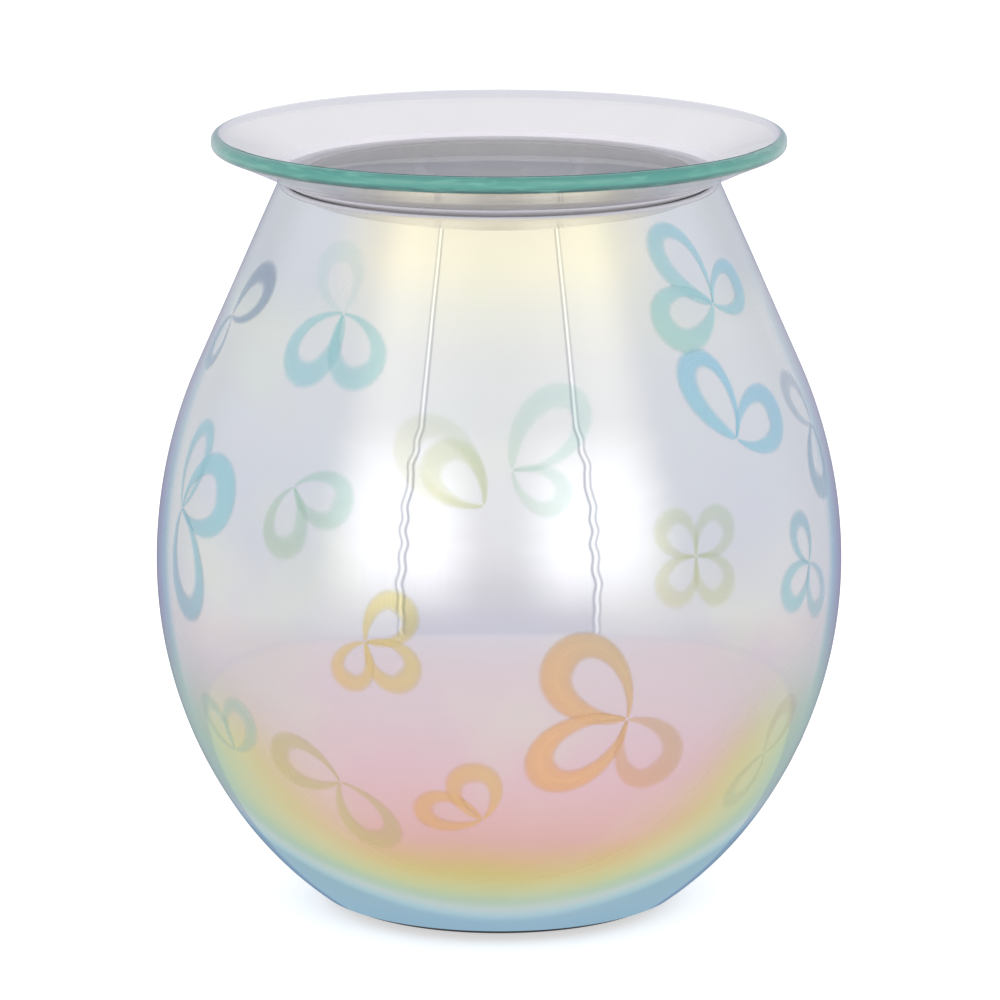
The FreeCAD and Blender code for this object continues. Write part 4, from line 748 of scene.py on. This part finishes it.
for index, (azimuth, level, lobes, near_tone, far_tone, strength) in enumerate(MOTIFS, start=1):
    petals(f"petals_{index:02d}", azimuth, level, lobes, near_tone, far_tone, strength)

# Finishes of the pieces inside the base and the lamp. Each row holds the nodes, the finish's name, its tone,
# its roughness and metal, the scale of its grain, the spread of its tone, its relief and its wear

FINISH_ROWS = [
    (["base_pan"], "pan_black_paint", (34, 35, 38), 0.42, 0.0, 1600.0, 0.2, 0.25, 0.02),
    (["clamp_cover"], "cover_zinc_steel", (176, 178, 182), 0.34, 1.0, 500.0, 0.1, 0.1, 0.05),
    (["clamp_gasket"], "gasket_silicone", (200, 196, 188), 0.6, 0.0, 900.0, 0.06, 0.15, 0.0),
    (["seat_gasket"], "seat_rubber", (38, 38, 40), 0.72, 0.0, 1500.0, 0.15, 0.3, 0.0),
    (["bottom_cover"], "cover_black_plastic", (36, 36, 38), 0.4, 0.0, 2200.0, 0.12, 0.3, 0.03),
    (["lamp_bracket"], "bracket_zinc_steel", (182, 182, 178), 0.38, 1.0, 600.0, 0.1, 0.1, 0.05),
    (["holder_base"], "holder_ceramic", (226, 220, 206), 0.4, 0.0, 700.0, 0.05, 0.12, 0.0),
    (["holder_body"], "holder_glazed_ceramic", (232, 226, 212), 0.22, 0.0, 500.0, 0.05, 0.08, 0.0),
    (["bulb_base"], "lamp_base_ceramic", (228, 226, 220), 0.34, 0.0, 700.0, 0.05, 0.12, 0.0),
    (["bulb_pins"], "lamp_pin_nickel", (186, 180, 168), 0.25, 1.0, 900.0, 0.08, 0.15, 0.0),
    (["bulb_reflector"], "lamp_mirror_film", (198, 202, 210), 0.1, 0.9, 300.0, 0.05, 0.04, 0.0),
    (["bulb_filament"], "tungsten_wire", (96, 94, 92), 0.5, 1.0, 3000.0, 0.15, 0.15, 0.0),
    (["contact_live"], "contact_brass_live", (206, 172, 104), 0.3, 1.0, 900.0, 0.1, 0.15, 0.0),
    (["contact_neutral"], "contact_brass_neutral", (206, 172, 104), 0.3, 1.0, 900.0, 0.1, 0.15, 0.0),
    (["terminal_block"], "block_nylon", (222, 218, 206), 0.5, 0.0, 1200.0, 0.05, 0.2, 0.0),
    (["terminal_inserts"], "insert_brass", (198, 164, 98), 0.34, 1.0, 1200.0, 0.1, 0.15, 0.0),
    (["live_lead"], "live_sleeve_brown", (112, 66, 40), 0.46, 0.0, 1800.0, 0.1, 0.2, 0.0),
    (["neutral_lead"], "neutral_sleeve_blue", (52, 92, 160), 0.46, 0.0, 1800.0, 0.1, 0.2, 0.0),
    (["earth_tag"], "earth_tag_tin", (190, 190, 186), 0.34, 1.0, 900.0, 0.08, 0.15, 0.0),
    (["deck_grommet"], "grommet_silicone", (196, 190, 180), 0.58, 0.0, 1000.0, 0.06, 0.15, 0.0),
    (["cord_gland"], "gland_rubber", (34, 34, 36), 0.66, 0.0, 1700.0, 0.15, 0.3, 0.0),
    (["foot_right", "foot_left", "foot_rear", "foot_front"],
     "foot_rubber", (48, 48, 50), 0.8, 0.0, 2000.0, 0.15, 0.4, 0.0),
    (["clamp_screws", "standoffs", "cover_screws", "bracket_screws", "bracket_nuts", "holder_screws",
      "holder_nuts", "terminal_screws", "block_screw", "earth_screw", "earth_nut"],
     "fastener_zinc", (196, 196, 192), 0.26, 1.0, 1400.0, 0.08, 0.12, 0.04),
]


def striped_sleeve():
    """Green sleeve with a yellow stripe that winds round it."""
    material, net, place, shader = new_material("earth_sleeve_striped")
    wave = net.add("ShaderNodeTexWave", wave_type="BANDS", bands_direction="DIAGONAL")
    net.join(place, wave.inputs["Vector"])
    wave.inputs["Scale"].default_value = 220.0
    stripe = net.rise(wave.outputs["Fac"], 0.45, 0.55)
    tone = net.blend(stripe, linear(60, 128, 66), linear(222, 202, 60))
    speck = net.noise(place, scale=1500.0, detail=3.0)
    net.join(net.blend(net.span(speck, 0.0, 0.2), tone, linear(120, 120, 70)), shader.inputs["Base Color"])
    net.join(net.span(speck, 0.4, 0.52), shader.inputs["Roughness"])
    return material


finishes = {"earth_lead": striped_sleeve()}
for names, finish, tone, *numbers in FINISH_ROWS:
    finishes.update(dict.fromkeys(names, plain(finish, linear(*tone), *numbers)))
lamp_glass = glass("lamp_clear_glass", linear(238, 240, 240), rough=0.04)
finishes.update(dict.fromkeys(("bulb_lens", "bulb_capsule"), lamp_glass))
for name, node in nodes.items():
    if name in finishes:
        node.data.materials.clear()
        node.data.materials.append(finishes[name])

# Table: it keeps the object's shadow and is white to the camera elsewhere

TABLE_REACHES, TABLE_SECTORS, TABLE_GLOW = [0.02, 0.035, 0.05, 0.08, 0.15, 0.4, 1.2, 3.0], 64, 0.55
WHITE = [1, 1, 1, 1]


def table():
    points, faces = [(0.0, 0.0, 0.0)], []
    for reach in TABLE_REACHES:
        for step in range(TABLE_SECTORS):
            angle = 2 * math.pi * step / TABLE_SECTORS
            points.append((reach * math.cos(angle), reach * math.sin(angle), 0.0))
    for step in range(TABLE_SECTORS):
        later = (step + 1) % TABLE_SECTORS
        faces.append((0, 1 + step, 1 + later))
        for row in range(len(TABLE_REACHES) - 1):
            base, above = 1 + row * TABLE_SECTORS, 1 + (row + 1) * TABLE_SECTORS
            faces.append((base + step, above + step, above + later, base + later))
    mesh = bpy.data.meshes.new("table")
    mesh.from_pydata(points, [], faces)
    mesh.update()
    piece = bpy.data.objects.new("table", mesh)
    scene.collection.objects.link(piece)
    material = bpy.data.materials.new("table_white")
    material.use_nodes = True
    net = Net(material.node_tree)
    matt = net.add("ShaderNodeBsdfDiffuse")
    cloud = net.noise(net.add("ShaderNodeTexCoord").outputs["Object"], scale=40.0)
    net.join(net.blend(cloud, [0.80, 0.80, 0.80, 1], [0.82, 0.82, 0.82, 1]), matt.inputs["Color"])
    glow = net.add("ShaderNodeEmission")
    glow.inputs["Color"].default_value = WHITE
    path = net.add("ShaderNodeLightPath")
    seen = net.math("MAXIMUM", path.outputs["Is Camera Ray"], path.outputs["Is Transmission Ray"])
    net.join(net.times(seen, TABLE_GLOW), glow.inputs["Strength"])
    both = net.add("ShaderNodeAddShader")
    net.join(matt.outputs[0], both.inputs[0])
    net.join(glow.outputs[0], both.inputs[1])
    net.join(both.outputs[0], net.end.inputs["Surface"])
    mesh.materials.append(material)
    piece.visible_glossy = False


table()

# Studio: white to the camera and through glass; for light and reflections, two tall soft panels with a gap
# between them, cream overhead, lavender sides and a duller rear

SIDE, SIDE_LOW = [0.91, 0.93, 0.98, 1], [1.02, 1.02, 0.97, 1]
REAR, REAR_LOW = [0.80, 0.82, 0.86, 1], [0.52, 0.53, 0.61, 1]
MIDDLE, MIDDLE_LOW = [1.24, 1.21, 1.14, 1], [0.84, 0.79, 0.83, 1]
PANEL, PANEL_LOW = [2.1, 2.07, 2.0, 1], [1.22, 1.19, 1.07, 1]
CREAM, CREST = [1.10, 1.10, 1.06, 1], [0.62, 0.66, 0.90, 1]
LOW, LOW_SIDE, LOW_DEEP = [0.98, 0.90, 0.94, 1], [0.88, 0.90, 0.90, 1], [0.98, 0.94, 0.94, 1]
SEAM, STREAK = [0.34, 0.36, 0.44, 1], [0.70, 0.72, 0.80, 1]
# All places in degrees, most as from and to: first how far to either side of the front, then how far up
PANEL_INNER, PANEL_OUTER, GAP_EDGE = (3, 25), (38, 66), (31.5, 33.5)
SIDE_FROM, REAR_FROM, BEHIND_FROM = (46, 70), (108, 140), (150, 178)
CREAM_OUTER, LOW_SIDE_FROM, STREAK_OUTER = (34, 60), (55, 100), (80, 110)
PANEL_FOOT, PANEL_HEAD, CREAM_FOOT, BEHIND_HEAD = (-13, 5), (14, 40), (26, 38), (6, 36)
MIDDLE_FOOT, FLANK_FOOT, SIDE_FOOT = (-9, 10), (-10, 2), (-10, 3)
STREAK_FOOT, STREAK_HEAD = (-13, -8), (-2, 8)
# Seams beside the panels: place, half width, strength and tone, and where each fades in half widths
SEAMS = [(32.3, 0.6, 0.6, PANEL), (31.2, 0.5, 0.85, SEAM), (33.3, 0.45, 0.7, SEAM)]
SEAM_CORE, SEAM_END = 0.3, 1.6
# Upright lines waver by so many degrees, slowly with height
WAVER, WAVER_SCALE, STREAK_SCALE = 1.3, 0.045, 0.45
# The reflected table ends at this height ahead and dips by so much behind; a crest lies on its border
BORDER, BORDER_DIP, CREST_SHARE = -12.2, 15.0, 0.3
BORDER_EDGE, CREST_FADE, CREST_LINE, DEEP = (-0.5, 0.5), (1.5, 7.0), (0.15, 0.8), (-50.0, -4.0)
STREAK_NOISE, STREAK_PART, STREAK_REST = (0.42, 0.62), 0.22, 0.05


def upper_studio(net, apart, height):
    """The studio above the table's border."""
    panels = net.times(net.rise(apart, *PANEL_INNER), net.fall(apart, *PANEL_OUTER))
    panels = net.times(panels, net.times(net.rise(height, *PANEL_FOOT), net.fall(height, *PANEL_HEAD)))
    middle = net.blend(net.rise(height, *MIDDLE_FOOT), MIDDLE_LOW, MIDDLE)
    flank = net.blend(net.rise(height, *FLANK_FOOT), PANEL_LOW, MIDDLE)
    side = net.blend(net.rise(height, *SIDE_FOOT), SIDE_LOW, SIDE)
    tone = net.blend(net.rise(apart, *GAP_EDGE), middle, flank)
    tone = net.blend(net.rise(apart, *SIDE_FROM), tone, side)
    cream = net.times(net.rise(height, *CREAM_FOOT), net.fall(apart, *CREAM_OUTER))
    tone = net.blend(cream, tone, CREAM)
    tone = net.blend(panels, tone, PANEL)
    tone = net.blend(net.rise(apart, *REAR_FROM), tone, REAR)
    behind = net.times(net.rise(apart, *BEHIND_FROM), net.fall(height, *BEHIND_HEAD))
    tone = net.blend(behind, tone, REAR_LOW)
    for place, half_width, strength, seam_tone in SEAMS:
        beside = net.math("ABSOLUTE", net.math("SUBTRACT", apart, place))
        seam = net.fall(beside, half_width * SEAM_CORE, half_width * SEAM_END)
        tone = net.blend(net.times(seam, strength), tone, seam_tone)
    return tone


def studio():
    world = bpy.data.worlds.new("studio")
    scene.world = world
    world.use_nodes = True
    net = Net(world.node_tree, "ShaderNodeOutputWorld")
    parts = net.add("ShaderNodeSeparateXYZ")
    net.join(net.add("ShaderNodeTexCoord").outputs["Generated"], parts.inputs[0])
    forward = net.times(parts.outputs["Y"], -1.0)
    around = net.times(net.math("ARCTAN2", parts.outputs["X"], forward), math.degrees(1))
    height = net.times(net.math("ARCSINE", parts.outputs["Z"]), math.degrees(1))
    waver = net.line_noise(height, WAVER_SCALE)
    waver.inputs["Detail"].default_value = 0.0
    apart = net.math("ADD", net.math("ABSOLUTE", around), net.span(waver.outputs["Fac"], -WAVER, WAVER))
    tone = upper_studio(net, apart, height)
    half = net.math("SINE", net.times(around, math.radians(0.5)))
    border = net.math("SUBTRACT", BORDER, net.times(net.times(half, half), BORDER_DIP))
    above = net.math("SUBTRACT", height, border)
    upper = net.rise(above, *BORDER_EDGE)
    crest = net.times(upper, net.fall(above, *CREST_FADE))
    tone = net.blend(net.times(crest, CREST_SHARE), tone, CREST)
    low_tone = net.blend(net.rise(apart, *LOW_SIDE_FROM), LOW, LOW_SIDE)
    low_tone = net.blend(net.rise(above, *DEEP), LOW_DEEP, low_tone)
    tone = net.blend(upper, low_tone, tone)
    line = net.fall(net.math("ABSOLUTE", above), *CREST_LINE)
    tone = net.blend(net.times(line, CREST_SHARE), tone, CREST)
    streak = net.rise(net.line_noise(around, STREAK_SCALE).outputs["Fac"], *STREAK_NOISE)
    strip = net.times(net.rise(height, *STREAK_FOOT), net.fall(height, *STREAK_HEAD))
    share = net.math("MULTIPLY_ADD", strip, STREAK_PART, STREAK_REST)
    tone = net.blend(net.times(net.times(streak, net.fall(apart, *STREAK_OUTER)), share), tone, STREAK)
    path = net.add("ShaderNodeLightPath")
    seen = net.math("MAXIMUM", path.outputs["Is Camera Ray"], path.outputs["Is Transmission Ray"])
    light = net.add("ShaderNodeBackground")
    net.join(tone, light.inputs["Color"])
    white = net.add("ShaderNodeBackground")
    white.inputs["Color"].default_value = WHITE
    net.surface(seen, light, white)


studio()

# Camera: the lens in millimetres, its place and what it looks at in metres

LENS, SENSOR, SHIFT = 232.0, 36.0, 0.001
EYE, AIM = Vector((0.0, -1.1729, 0.3299)), Vector((0.0, 0.0, 0.0763))
camera = bpy.data.cameras.new("camera")
camera.sensor_width = SENSOR
camera.lens = LENS
camera.shift_x = SHIFT
camera.clip_start = 0.05
camera.clip_end = 20.0
viewer = bpy.data.objects.new("camera", camera)
viewer.location = EYE
viewer.rotation_euler = (AIM - EYE).to_track_quat("-Z", "Y").to_euler()
scene.collection.objects.link(viewer)
scene.camera = viewer
scene.view_settings.view_transform = "Standard"
